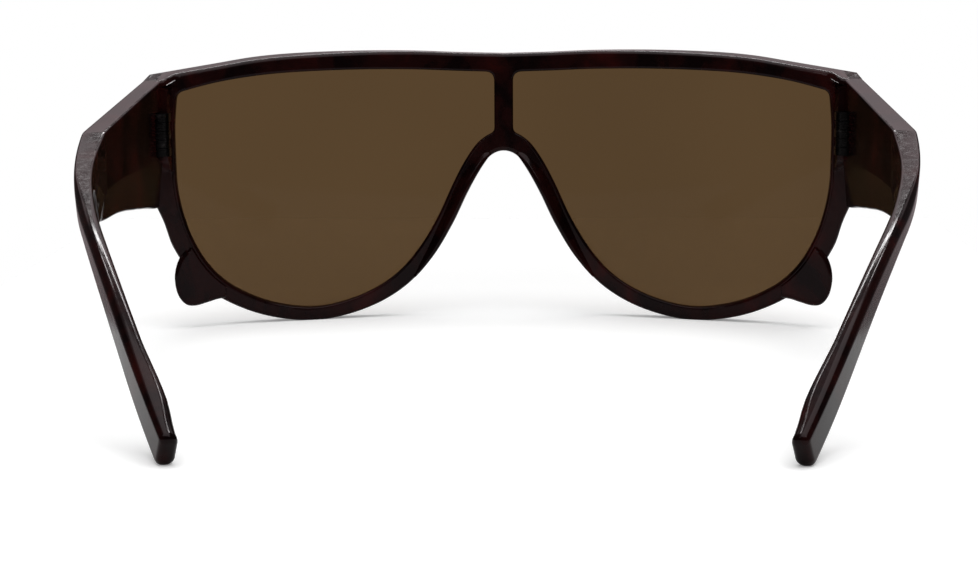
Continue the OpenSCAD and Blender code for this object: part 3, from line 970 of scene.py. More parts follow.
@dataclass
class Front:
    """The acetate front: the rim's profile carried round one window, and its mirror image."""

    form: FrontForm
    shop: Workshop
    edge_r: float = 0.9
    back_r: float = 0.9
    brow_r: float = 1.3
    brow_fade: int = 12
    lip_r: float = 0.45
    rebate_r: float = 0.15
    rebate_step: float = 0.3
    middle_gap: float = 0.003
    face_shares: tuple = (0.04, 0.2, 0.4, 0.6, 0.8, 0.96)
    wall_shares: tuple = (0.06, 0.35, 0.65, 0.94)
    back_shares: Pair = (0.02, 0.05)
    back_steps: int = 26
    lip_steps: int = 5
    rebate_steps: int = 4
    edge_steps: int = 8
    back_edge_steps: int = 9

    def rows(self) -> list[np.ndarray]:
        """Lines of the surface round the right-hand window.

        The profile runs from the window's back corner through the lens rebate to the front face,
        round both outer corners and back over the back face. Its corners are quarter circles.

        Returns:
            Lines of as many points each, in the profile's order.
        """
        form = self.form
        rail = form.rails()
        window, seat, outer, behind, sizes = (
            rail[key] for key in ("window", "seat", "outer", "behind", "sizes"))
        bar = sizes[3]
        into, out, out_back = outward(window, True), outward(outer), outward(behind)
        for way in (out, out_back):
            way[0], way[bar - 1] = (0.0, 1.0), (0.0, -1.0)
        place = np.arange(len(window))
        soft = np.where(place < bar, 1.0, 0.0)
        late = np.clip((place - sizes[1] + self.brow_fade) / self.brow_fade, 0, 1)
        radius = soft * (self.brow_r + (self.back_r - self.brow_r) * late)

        rows = [in_space(window + self.lip_r * (1 - sin) * into,
                         form.back_y(window) - self.lip_r * (1 - cos))
                for sin, cos in quarter(self.lip_steps)]
        rows += [form.on_wrap(window, form.seat_out, self.rebate_step),
                 form.on_wrap(window, form.seat_out), form.on_wrap(seat, form.seat_out),
                 form.on_wrap(seat, form.front_t, self.rebate_r)]

        toward = self.rebate_r * unit(outer - seat) * soft[:, None]
        rows += [form.on_wrap(seat + (1 - cos) * toward, form.front_t, self.rebate_r * (1 - sin))
                 for sin, cos in quarter(self.rebate_steps)]
        inset = self.edge_r * soft[:, None] * out
        start, stop = seat + toward, self.across_bar(outer - inset, outer, bar)
        rows += [form.on_wrap(start + share * (stop - start), form.front_t)
                 for share in self.face_shares]
        rows += [form.on_wrap(stop + sin * inset, form.front_t, self.edge_r * (1 - cos) * soft)
                 for sin, cos in quarter(self.edge_steps)]

        near = rows[-1]
        stop = self.across_bar(behind - radius[:, None] * out_back, outer, bar)
        back = form.back_y(stop)
        far = in_space(behind, back - radius)
        rows += [near + share * (far - near) for share in self.wall_shares]
        rows += [in_space(stop + (radius * cos)[:, None] * out_back, back - radius * (1 - sin))
                 for sin, cos in quarter(self.back_edge_steps)]
        start = window + self.lip_r * into
        end, close = self.back_shares
        for share in (end, *np.linspace(close, 1 - close, self.back_steps), 1 - end):
            flat = stop + share * (start - stop)
            rows.append(in_space(flat, form.back_y(flat)))
        return rows

    @staticmethod
    def across_bar(line: np.ndarray, outer: np.ndarray, bar: int) -> np.ndarray:
        """A line whose stretch over the bar runs straight between its own two ends.

        Args:
            line: the line, which is changed.
            outer: the front's outer edge, which gives the shares of the way.
            bar: where the stretch over the bar starts.

        Returns:
            The line.
        """
        low = bar - 1
        share = (outer[bar:, 1:] - outer[low, 1]) / (outer[0, 1] - outer[low, 1])
        line[bar:] = line[low] + share * (line[0] - line[low])
        return line

    def build(self) -> None:
        """Joins the lines, keeps what lies right of the middle, and mirrors it."""
        rows = self.rows()
        points = np.concatenate(rows)
        points[np.abs(points[:, 0]) < self.middle_gap, 0] = 0.0
        points[:, 2] = np.maximum(points[:, 2], 0.0)
        quads = grid_faces(len(rows), len(rows[0]), True, True)
        quads = quads[np.any(points[quads, 0] > 0, axis=1)]
        both = np.vstack([points, points * [-1, 1, 1]])
        self.shop.piece("front_tortoise", both, np.vstack([quads, quads[:, ::-1] + len(points)]),
                        "acetate", "front", ["front_frame"])


@dataclass
class Lens:
    """The lens: one sheet bent to the wrap behind both windows."""

    form: FrontForm
    shop: Workshop
    back_gap: float = 0.005
    upright_x: float = 60.0
    columns: int = 150
    rows: int = 40
    tie_step: float = 1e-9

    def half(self) -> np.ndarray:
        """Flat points of the sheet's right-hand half, from its top edge to its low edge.

        Straight lines join the two edges. They are upright out to upright_x, and beyond it both
        edges are shared out evenly by length.

        Returns:
            (rows, columns, 2) points.
        """
        rail = self.form.rails()
        first, second, third = rail["sizes"][1:]
        parts = np.split(rail["seat"][:third], [first, second])
        top, side, low = (grown(part, -self.form.lens_gap) for part in parts)
        top[0, 0] = low[-1, 0] = 0.0
        mid = len(side) // 2
        lower = np.vstack([side[mid - 1:], low])[::-1]
        high = along(np.vstack([top, side[:mid]]), np.linspace(0, 1, self.columns))
        way = lengths(lower)
        order = np.maximum.accumulate(lower[:, 0]) + np.arange(len(lower)) * self.tie_step
        at = np.interp(np.minimum(high[:, 0], self.upright_x), order, way)
        turn = np.argmax(high[:, 0] >= self.upright_x)
        rest = lengths(high[turn:])
        at[turn:] = at[turn] + (way[-1] - at[turn]) * rest / rest[-1]
        deep = along(lower, at / way[-1])
        share = np.linspace(0, 1, self.rows)[:, None, None]
        return high[None] + share * (deep - high)[None]

    def build(self) -> None:
        """Back and front lie at two radii of the wrap, and the edge wall joins them."""
        half = self.half()
        sheet = np.concatenate([half[:, :0:-1] * [-1, 1], half], axis=1)
        back = self.form.on_wrap(sheet, self.form.seat_out + self.back_gap)
        face = self.form.on_wrap(sheet, self.form.seat_out + self.form.lens_t)
        points = np.concatenate([back, face[::-1]])
        self.shop.piece("lens_sheet", points, grid_faces(*points.shape[:2], True, False),
                        "lens", "front", ["shield_lens"])


@dataclass
class NosePad:
    """A nose pad: its swelling profile is carried along the nose side of the rim.

    The profile's points are shares of its reach from the rim and of its lift off the back face.
    """

    form: FrontForm
    shop: Workshop
    side: Side
    reach: float = 2.7
    lift: float = 2.4
    first_knot: int = 7
    start_share: float = 0.32
    run_share: float = 0.52
    swell_power: float = 1.1
    least_swell: float = 0.05
    profile_shares: tuple = ((0, -.3), (0, 0), (-.06, .5), (0, .86), (.16, 1), (.4, .92),
                             (.78, .45), (1, 0), (1, -.3))
    line_steps: int = 200
    rings: int = 70
    ring_steps: int = 49

    def build(self) -> None:
        """The profile swells as a sine along the pad, its reach as that sine's root."""
        knots = self.form.rim_knots()[self.first_knot:]
        line = spline_at(knots, np.linspace(0, len(knots) - 1, self.line_steps))
        shares = np.array(self.profile_shares)
        profile = spline_at(shares, np.linspace(0, len(shares) - 1, self.ring_steps))[None]
        k = np.linspace(0, 1, self.rings)
        at = (self.start_share + k * self.run_share) * (len(line) - 1)
        base = read_off(line, np.arange(len(line)), at)
        swell = np.maximum(np.sin(np.pi * k) ** self.swell_power, self.least_swell)[:, None]
        reach = profile[..., 0] * self.reach * np.where(profile[..., 0] < 0, swell, np.sqrt(swell))
        flat = base[:, None] - reach[..., None] * outward(base)[:, None]
        lift = profile[..., 1] * self.lift * swell
        points = self.form.on_wrap(flat, -lift) * [self.side.value, 1, 1]
        self.shop.piece(f"nose_pad_{self.side.word}_smooth", points, tube_faces(*points.shape[:2]),
                        "acetate", "front", [f"nose_pad_{self.side.word}"])


@dataclass
class SideTab:
    """A side tab: a rounded plate between its outer edge and a lip beside the window."""

    form: FrontForm
    shop: Workshop
    side: Side
    tab_w: float = 10.2
    tab_h: float = 12.0
    end_share: float = 1.008
    low_share: float = 0.038
    edge_shares: tuple = ((.78, 1), (.9, .87), (.985, .66), (1, .44), (.94, .2), (.8, .035),
                          (.62, 0), (.4, .04), (.2, .085), (.02, .1))
    seam_shares: Pair = (0.35, 1.08)
    seam_reach: float = 4.0
    foot_share: float = 0.01
    edge_r: float = 1.1
    lip_in: float = 0.5
    lip_r: float = 0.12
    lip_depth: float = 0.4
    behind: float = 0.6
    face_sink: float = 0.8
    back_shares: tuple = (0.04, 0.25, 0.5, 0.75, 0.96)
    edge_samples: int = 120
    lip_samples: int = 1200
    samples: int = 90
    lip_steps: int = 4
    edge_steps: int = 7

    def edges(self) -> tuple[np.ndarray, np.ndarray]:
        """The lip beside the window and the outer edge, with as many points each.

        The lip starts where the line from the outer edge's start to the seam meets it, and ends
        below the seam where it comes to the tab's inner side.

        Returns:
            The lip's points and the outer edge's.
        """
        form = self.form
        size = np.array([self.tab_w, self.tab_h])
        corner = np.array([form.bar_w / 2 + self.end_share * form.window_w - self.tab_w,
                           form.window_z + self.low_share * form.window_h])
        knots = np.array(self.edge_shares) * size + corner
        edge = spline_at(knots, np.linspace(0, len(knots) - 1, self.edge_samples))
        low = form.at_window(form.low_shares)
        lip = grown(spline_at(low, np.linspace(0, len(low) - 1, self.lip_samples)), self.lip_in)
        seam = corner + self.seam_shares * size
        step, gap = edge[0] - seam, lip - seam
        miss = np.abs(gap[:, 0] * step[1] - gap[:, 1] * step[0])
        first = int(np.argmin(np.where(np.abs(gap[:, 1]) > self.seam_reach, np.inf, miss)))
        miss = np.abs(lip[:, 0] - corner[0] - self.foot_share * self.tab_w)
        last = int(np.argmin(np.where(lip[:, 1] > corner[1] + self.tab_h, np.inf, miss)))
        share = np.linspace(0, 1, self.samples)
        return along(lip[first:last + 1], share), along(edge, share)

    def build(self) -> None:
        """Carries the plate's profile along both edges: lip, face, rounded edge and back."""
        form, r = self.form, self.edge_r
        inner, outer = self.edges()
        into, out = self.lip_r * outward(inner), r * outward(outer)
        face = form.front_t - self.face_sink
        rows = [form.on_wrap(inner + (1 - sin) * into, -self.behind, -self.lip_r * (1 - cos))
                for sin, cos in quarter(self.lip_steps)]
        rows.append(form.on_wrap(inner, self.lip_depth))
        rows += [form.on_wrap(outer - (1 - sin) * out, face, r * (1 - cos))
                 for sin, cos in quarter(self.edge_steps)]
        rows += [form.on_wrap(outer - (1 - cos) * out, -self.behind, -r * (1 - sin))
                 for sin, cos in quarter(self.edge_steps)]
        start, stop = outer - out, inner + into
        rows += [form.on_wrap(start + share * (stop - start), -self.behind)
                 for share in self.back_shares]
        points = np.stack(rows) * [self.side.value, 1, 1]
        count, n = points.shape[:2]
        ends = [[j * n for j in range(count)], [j * n + n - 1 for j in range(count)]]
        self.shop.piece(f"side_tab_{self.side.word}_rounded", points,
                        grid_faces(count, n, True, False).tolist() + ends, "acetate", "front",
                        [f"side_tab_{self.side.word}"])


# The temples


@dataclass(frozen=True)
class TempleForm:
    """Sizes of a temple, from the joint back to the tip.

    A run is a distance from the joint seen from above. It is measured past the bend where a
    field says runs, and shares are parts of the whole run.
    """

    front: FrontForm
    start_in: float = 0.2
    joint_gap: float = 0.15
    front_d: float = 27.0
    arm_d: float = 4.4
    tip_d: float = 6.8
    front_t: float = 3.9
    bend_t: float = 4.6
    arm_t: float = 3.1
    ear_t: float = 3.8
    tip_t: float = 3.1
    thin_share: float = 0.25
    thickness_shares: tuple = (0, .2, .4, .8, .93, 1)
    flare: float = 10.0
    bend_run: float = 33.0
    front_slope: float = 12.9
    arm_slope: float = 15.6
    arm_run: float = 43.0
    ear_r: float = 165.0
    ear_bend: float = 15.5
    inward_r: float = 152.0
    ear_inward_r: float = 400.0
    turn_in: float = 3.0
    edge_r: float = 0.5
    inner_edge_r: float = 0.6
    arm_edge_r: float = 1.6
    late_edge_r: float = 1.4
    arm_edge_runs: tuple[float, float, float, float] = (18.0, 36.0, 38.0, 52.0)
    arm_inner_r: float = 1.3
    arm_inner_runs: Pair = (28.0, 48.0)
    tip_edge_r: float = 1.2
    tip_edge_shares: Pair = (0.86, 1.0)
    kink_soft: float = 0.5
    low_edge_r: float = 0.7
    corner_r: float = 2.0
    corner_run: float = 3.5
    corner_reach: float = 5.0
    arm_lean: float = 0.2
    inner_taper: float = 0.9
    outer_taper: float = 0.9
    ridge_share: float = 0.7
    ridge_rise_share: float = 0.1
    knee_soft: float = 1.4
    crease_soft: float = 7.0
    tip_low_r: float = 2.0
    tip_top_r: float = 1.1
    tip_inner_r: float = 1.8
    tip_inner_shares: Pair = (0.9, 1.0)
    tip_under_r: float = 1.5
    settle: float = 7.2
    depth_shares: tuple = (
        (0, .96), (.047, .869), (.094, .783), (.164, .668), (.22, .606), (.259, .577),
        (.285, .545), (.313, .38), (.344, .195), (.376, .06), (.415, .005), (.46, 0))
    flat_shares: tuple = (.02, .1, .2, .35, .5, .65, .8, .9, .98)
    round_shares: tuple = (.15, .3, .45, .58, .7, .8, .88, .94, .98, 1.0)
    ring_counts: tuple[int, int, int, int, int] = (56, 21, 66, 60, 8)
    ring_reaches: tuple[float, float, float] = (2.2, 2.0, 2.4)
    plan_steps: int = 4001
    round_steps: int = 8

    @property
    def start(self) -> np.ndarray:
        """The outer top edge at the joint."""
        f = self.front
        return np.array([f.end_x - self.start_in, f.joint_y + self.joint_gap, f.lug_top])

    @property
    def runs(self) -> dict[str, float]:
        """Runs to the bend, the arm's end, the ear bend's end and the tip, and heights there.

        Returns:
            The runs and heights, by name.
        """
        top = math.radians(self.arm_slope)
        end = math.radians(self.arm_slope + self.ear_bend)
        bend = self.bend_run / math.cos(math.radians(self.flare))
        arm = self.arm_run * math.cos(top)
        ear = self.ear_r * (math.sin(end) - math.sin(top))
        bend_z = self.start[2] - bend * math.tan(math.radians(self.front_slope))
        arm_z = bend_z - self.arm_run * math.sin(top)
        ear_z = arm_z - self.ear_r * (math.cos(top) - math.cos(end))
        tip_z = (self.tip_low_r + (self.tip_d - self.tip_low_r) * math.cos(end)
                 - self.front.rest_cut)
        tail = (ear_z - tip_z) / math.tan(end)
        return {"bend": bend, "arm": bend + arm, "ear": bend + arm + ear,
                "full": bend + arm + ear + tail, "bend_z": bend_z, "arm_z": arm_z,
                "ear_z": ear_z}

    def top_line(self, s: np.ndarray) -> tuple[np.ndarray, np.ndarray]:
        """Height and downward slope of the top edge at the runs s.

        A straight slope to the bend, a steeper one behind it, a circle over the ear, and a last
        straight at the angle that the circle ends with. A parabola softens the change of slope at
        the bend.

        Args:
            s: runs.

        Returns:
            Heights, and slopes in radians.
        """
        run = self.runs
        first, second = math.radians(self.front_slope), math.radians(self.arm_slope)
        last = second + math.radians(self.ear_bend)
        over = np.clip(s - run["arm"] + self.ear_r * math.sin(second), 0,
                       self.ear_r * math.sin(last))
        where = [s <= run["bend"], s <= run["arm"], s <= run["ear"]]
        z = np.select(where, [
            self.start[2] - s * math.tan(first),
            run["bend_z"] - (s - run["bend"]) * math.tan(second),
            run["arm_z"] - self.ear_r * math.cos(second) + np.sqrt(self.ear_r**2 - over * over),
        ], run["ear_z"] - (s - run["ear"]) * math.tan(last))
        slope = np.select(where, [first + 0 * s, second + 0 * s, np.arcsin(over / self.ear_r)],
                          last)
        past, soft = s - run["bend"], self.kink_soft
        near = np.abs(past) < soft
        share = (past + soft) / (2 * soft)
        z = np.where(near, z - (math.tan(second) - math.tan(first)) * (
            soft * share**2 - np.maximum(past, 0)), z)
        return z, np.where(near, first + share * (second - first), slope)

    def bend_turn(self, s: np.ndarray, reach: float) -> np.ndarray:
        """Share of the bend's turn that is done at each run, over a reach to each side."""
        bend = self.runs["bend"]
        return smooth_share(s, bend - reach, bend + reach)

    def heading(self, s: np.ndarray) -> np.ndarray:
        """Heading of the outer face at each run seen from above, in radians.

        It is straight outward to the bend, swings over a short length there, and then falls as
        on two arcs that curve in.

        Args:
            s: runs.

        Returns:
            The headings.
        """
        run = self.runs
        flare, turn = math.radians(self.flare), math.radians(self.turn_in)
        past = np.maximum(s - run["bend"], 0)
        late = np.maximum(s - run["arm"], 0)
        curve = -turn - (past - late) / self.inward_r - late / self.ear_inward_r
        return flare + (curve - flare) * self.bend_turn(s, self.knee_soft)

    def plan(self, s: np.ndarray) -> np.ndarray:
        """Place of the outer face seen from above: the running sum of its heading's directions.

        Args:
            s: runs.

        Returns:
            (n, 2) places.
        """
        fine = np.linspace(0, self.runs["full"], self.plan_steps)
        heading = self.heading(fine)
        mid = (heading[1:] + heading[:-1]) / 2
        steps = np.stack([np.sin(mid), np.cos(mid)], 1)
        way = np.vstack([[0, 0], np.cumsum(steps, 0) * (fine[1] - fine[0])])
        return read_off(way, fine, s) + self.start[:2]

    def crease_rise(self, s: np.ndarray) -> np.ndarray:
        """Rise of the top for each millimetre inward, which spreads the crease at the bend."""
        # The slope times the difference of two turns: the bend's own, and one over a longer way.
        spread = self.bend_turn(s, self.knee_soft) - self.bend_turn(s, self.crease_soft)
        return np.tan(self.top_line(s)[1]) * math.radians(self.flare + self.turn_in) * spread

    def deep(self, s: np.ndarray) -> np.ndarray:
        """Share of the depth at the joint that is left at each run."""
        return eased(np.array(self.depth_shares, float), s / self.runs["full"])

    def depth(self, s: np.ndarray) -> np.ndarray:
        """Depth of the cross-section: the table's fall, plus a slow growth to the tip.

        Args:
            s: runs.

        Returns:
            The depths.
        """
        run = self.runs
        late = np.maximum(s - run["arm"], 0) / (run["full"] - run["arm"])
        return (self.arm_d + (self.front_d - self.arm_d) * self.deep(s)
                + (self.tip_d - self.arm_d) * late)

    def thickness(self, s: np.ndarray) -> np.ndarray:
        """Thickness: growing to the bend, then eased through the arm and ear to the tip.

        Args:
            s: runs.

        Returns:
            The thicknesses.
        """
        run = self.runs
        past = (s - run["bend"]) / (run["full"] - run["bend"])
        thin = self.arm_t + self.thin_share * (self.bend_t - self.arm_t)
        sizes = (self.bend_t, thin, self.arm_t, self.arm_t, self.ear_t, self.tip_t)
        table = np.array([self.thickness_shares, sizes]).T
        early = self.front_t + (self.bend_t - self.front_t) * s / run["bend"]
        return np.where(past <= 0, early, eased(table, np.clip(past, 0, 1)))

    def top_edges(self, s: np.ndarray) -> tuple[np.ndarray, np.ndarray]:
        """Radii of the top edges, outer and inner.

        The outer one swells behind the bend, shrinks back a little, and changes again at the tip.
        The inner one grows where the outer one shrinks back.

        Args:
            s: runs.

        Returns:
            The outer radii and the inner ones.
        """
        past, share = s - self.runs["bend"], s / self.runs["full"]
        swell, back = self.arm_edge_runs[:2], self.arm_edge_runs[2:]
        outer = (self.edge_r + smooth_share(past, *swell) * (self.arm_edge_r - self.edge_r)
                 + smooth_share(past, *back) * (self.late_edge_r - self.arm_edge_r)
                 + smooth_share(share, *self.tip_edge_shares)
                 * (self.tip_edge_r - self.late_edge_r))
        inner = (self.inner_edge_r
                 + smooth_share(past, *self.arm_inner_runs)
                 * (self.arm_inner_r - self.inner_edge_r)
                 + smooth_share(share, *self.tip_inner_shares)
                 * (self.tip_inner_r - self.arm_inner_r))
        return outer, inner

    def section(self, *sizes: np.ndarray) -> np.ndarray:
        """Cross-sections as (rings, points, 2): inward from the outer face, down from the top.

        Four quarter circles and the flats between them, with a ridge on the inner face below
        which it tapers back.

        Args:
            sizes: one array each of thickness, depth, inner and outer taper, the ridge's depth,
                and the radii of the top outer, top inner, lower inner and lower outer corners.

        Returns:
            The cross-sections.
        """
        thick, deep, taper, lean, ridge, over, wide, low, under = (
            np.atleast_1d(size)[:, None] for size in sizes)
        sin, cos = quarter(self.round_steps).T
        top_in = np.stack([thick - wide + wide * sin, wide - wide * cos], -1)
        low_in = np.stack([thick - taper - low + low * cos, deep - low + low * sin], -1)
        low_out = np.stack([lean + under - under * sin, deep - under + under * cos], -1)
        top_out = np.stack([over - over * cos, over - over * sin], -1)
        share = np.array(self.flat_shares)[None, :, None]

        def flat(one: np.ndarray, other: np.ndarray) -> np.ndarray:
            """Points between the end of one stretch and the start of the other."""
            return one[:, -1:] + share * (other[:, :1] - one[:, -1:])

        crest = np.stack([thick, ridge], -1)
        return np.concatenate([
            top_out, flat(top_out, top_in), top_in, flat(top_in, crest), crest,
            flat(crest, low_in), low_in, flat(low_in, low_out), low_out,
            flat(low_out, top_out)], axis=1)

    def frames(self, s: np.ndarray) -> tuple[np.ndarray, np.ndarray, np.ndarray, np.ndarray]:
        """Top place, inward, downward and onward directions at the runs s.

        Args:
            s: runs.

        Returns:
            Four arrays of (n, 3).
        """
        run = self.runs
        z, slope = self.top_line(s)
        turn = self.heading(s) * np.minimum(s / self.settle, 1)
        tilt = slope * smooth_share(s, run["bend"], (run["bend"] + run["arm"]) / 2)
        top = np.column_stack([self.plan(s), z])
        sin, cos = np.sin(turn), np.cos(turn)
        inward = np.stack([-cos, sin, 0 * turn], 1)
        down = np.stack([-np.sin(tilt) * sin, -np.sin(tilt) * cos, -np.cos(tilt)], 1)
        onward = np.stack([np.cos(slope) * sin, np.cos(slope) * cos, -np.sin(slope)], 1)
        return top, inward, down, onward

    def stations(self) -> np.ndarray:
        """The runs of the rings, closer together at the bend.

        Returns:
            The runs, rising.
        """
        bend, arm, ear, full = (self.runs[key] for key in ("bend", "arm", "ear", "full"))
        before, reach, after = self.ring_reaches
        spans = [(0, bend - before), (bend - reach, bend + reach), (bend + after, arm),
                 (arm, ear), (ear, full)]
        return np.unique(np.concatenate([
            np.linspace(first, last, count)
            for (first, last), count in zip(spans, self.ring_counts)]))

    def body_rings(self) -> np.ndarray:
        """Rings from the joint to where the tip's rounding starts.

        Returns:
            (rings, points, 3) places.
        """
        run, s = self.runs, self.stations()
        share, deep, depth = s / run["full"], self.deep(s), self.depth(s)
        high = np.minimum(deep * 2, 1)
        lean = (self.outer_taper * high * np.minimum(s / run["bend"], 1) ** 2
                + self.arm_lean * (1 - high) * (1 - share) * 2)
        first, last = self.tip_edge_shares
        late = np.clip((share - first) / (last - first), 0, 1) ** 2
        low = self.low_edge_r + late * (self.tip_under_r - self.low_edge_r)
        past = (s - run["bend"] - self.corner_run) / self.corner_reach
        flat = self.section(
            self.thickness(s), depth, self.inner_taper * high, lean,
            depth * (self.ridge_share - self.ridge_rise_share * deep), *self.top_edges(s),
            low + np.exp(-past**4) * (self.corner_r - self.low_edge_r), low)
        top, inward, down, _ = self.frames(s)
        rings = top[:, None] + flat[..., :1] * inward[:, None] + flat[..., 1:] * down[:, None]
        rings[..., 2] += flat[..., 0] * self.crease_rise(s)[:, None]
        return rings

    def tip_rings(self) -> np.ndarray:
        """Rings that round off the tip: each lies further on and is smaller by two circles.

        Returns:
            (rings, points, 3) places.
        """
        reach = np.array(self.round_shares) * self.tip_low_r
        rise = self.tip_low_r - np.sqrt(self.tip_low_r**2 - reach**2)
        late = np.maximum(reach - (self.tip_low_r - self.tip_top_r), 0)
        fall = self.tip_top_r - np.sqrt(np.maximum(self.tip_top_r**2 - late**2, 0))
        full = np.full(len(reach), self.runs["full"])
        share = 1 - 2 * fall / self.tip_t
        depth = self.tip_d - rise - fall
        under = self.tip_under_r * share
        flat = self.section(self.thickness(full) - 2 * fall, depth, 0 * reach, 0 * reach,
                            depth * self.ridge_share, self.tip_edge_r * share,
                            self.tip_inner_r * share, under, under)
        top, inward, down, onward = self.frames(full)
        fall = fall[:, None, None]
        return (top[:, None] + reach[:, None, None] * onward[:, None]
                + (flat[..., :1] + fall) * inward[:, None] + (flat[..., 1:] + fall) * down[:, None])

    def rings(self) -> np.ndarray:
        """Every ring of the temple, none below the table.

        Returns:
            (rings, points, 3) places.
        """
        rings = np.concatenate([self.body_rings(), self.tip_rings()])
        rings[..., 2] = np.maximum(rings[..., 2], 0.0)
        return rings


@dataclass
class Temple:
    """One temple, with the room for the hinge's barrel cut into it."""

    form: TempleForm
    shop: Workshop
    side: Side
    axis_in: float = 0.04
    axis_back: float = 2.1
    barrel_r: float = 2.0
    barrel_z: float = 36.9
    barrel_h: float = 8.7
    room_gap: float = 0.25
    room_ahead: float = 2.2
    room_steps: int = 48

    @property
    def axis(self) -> tuple[float, float]:
        """The hinge's axis seen from above."""
        front = self.form.front
        return (front.end_x - self.form.front_t - self.axis_in, front.joint_y + self.axis_back)

    def room(self) -> tuple[np.ndarray, list[list[int]]]:
        """Points and faces of the barrel's room: a column, round behind its axis and flat ahead.

        Returns:
            The points and the faces.
        """
        turn = arc(0, 360, self.room_steps + 1)[:-1]
        reach = self.barrel_r + self.room_gap
        ring = np.stack([np.cos(turn), np.sin(turn)], 1) * reach
        ring[ring[:, 1] < 0, 1] = -reach - self.room_ahead
        ring, n = ring + self.axis, len(ring)
        heights = (self.barrel_z - self.room_gap, self.barrel_z + self.barrel_h + self.room_gap)
        points = np.vstack([np.column_stack([ring, np.full(n, z)]) for z in heights])
        walls = [[i, (i + 1) % n, (i + 1) % n + n, i + n] for i in range(n)]
        faces = walls + [list(range(n))[::-1], list(range(n, 2 * n))]
        if self.side is Side.RIGHT:
            faces = [face[::-1] for face in faces]
        return points * [self.side.value, 1, 1], faces

    def build(self) -> None:
        """Joins the rings, closes both ends and cuts the barrel's room."""
        rings = self.form.rings() * [self.side.value, 1, 1]
        made = self.shop.piece(f"temple_{self.side.word}_tortoise", rings,
                               tube_faces(*rings.shape[:2]), "acetate",
                               f"{self.side.word}_temple", [f"temple_{self.side.word}"])
        self.shop.cut(made, *self.room())


# The studio


@dataclass(frozen=True)
class Lamp:
    """A soft rectangular lamp that shows in gloss alone."""

    name: str
    place: Place
    size: Pair
    power: float

    def build(self, aim: Place) -> None:
        """Puts the lamp up, facing a place.

        Args:
            aim: the place.
        """
        data = bpy.data.lights.new(self.name, "AREA")
        data.shape, data.energy = "RECTANGLE", self.power
        data.size, data.size_y = self.size
        made = in_scene(self.name, data)
        gap = Vector(aim) - Vector(self.place)
        made.matrix_world = Matrix.Translation(self.place) @ gap.to_track_quat(
            "-Z", "Y").to_matrix().to_4x4()
        made.visible_diffuse = False


@dataclass(frozen=True)
class Room:
    """White where the camera looks, and a dim room with pale screens for the gloss.

    In the room, by the direction that a reflection takes: a narrow pale backdrop behind the
    glasses, a brighter screen above it, a dim floor below it, and a soft ceiling. Each pair is
    where a form starts and is full, as the sine of an angle up, aside or straight back.
    """

    matt: float = 0.48
    plain: float = 0.08
    tone: Colour = (1.0, 0.84, 0.87)
    back: Pair = (0.2, 0.5)
    backdrop: float = 0.5
    backdrop_aside: Pair = (0.17, 0.30)
    backdrop_top: Pair = (0.36, 0.5)
    ground: float = 0.25
    ground_top: Pair = (-0.06, 0.0)
    screen: float = 1.5
    screen_aside: Pair = (0.35, 0.5)
    screen_foot: Pair = (0.34, 0.58)
    screen_top: Pair = (0.594, 0.606)
    ceiling: float = 0.6
    ceiling_foot: Pair = (0.75, 0.92)

    def build(self) -> None:
        """Makes the world's material."""
        world = bpy.data.worlds.new("room")
        world.use_nodes = True
        bpy.context.scene.world = world
        board = NodeBoard(world.node_tree)
        path = board.add("ShaderNodeLightPath", None, None, "Is Camera Ray")
        through, glossy = (Link(board, path.socket.node.outputs[name])
                           for name in ("Is Transmission Ray", "Is Glossy Ray"))
        look = board.add("ShaderNodeTexCoord", None, None, "Generated")
        up = board.add("ShaderNodeSeparateXYZ", None, {0: look}, "Z")
        back = 0.0 - Link(board, up.socket.node.outputs["Y"])
        aside = Link(board, up.socket.node.outputs["X"])
        aside = (aside * aside) ** 0.5

        beside = board.step(aside, *self.backdrop_aside)
        backdrop = (1 - beside) * (1 - board.step(up, *self.backdrop_top)) * self.backdrop
        ground = (1 - board.step(up, *self.ground_top)) * beside * self.ground
        screen = ((1 - board.step(aside, *self.screen_aside)) * board.step(up, *self.screen_foot)
                  * (1 - board.step(up, *self.screen_top)) * self.screen)
        ceiling = board.step(up, *self.ceiling_foot) * self.ceiling
        room = board.step(back, *self.back) * (backdrop + screen + ground) + ceiling + self.plain

        shown = path.largest(through)
        level = glossy * room + (1 - glossy) * self.matt
        board.finish(board.add("ShaderNodeBackground", None, {
            "Color": board.blend((1 - shown) * glossy, WHITE, self.tone),
            "Strength": shown + (1 - shown) * level}), "ShaderNodeOutputWorld")


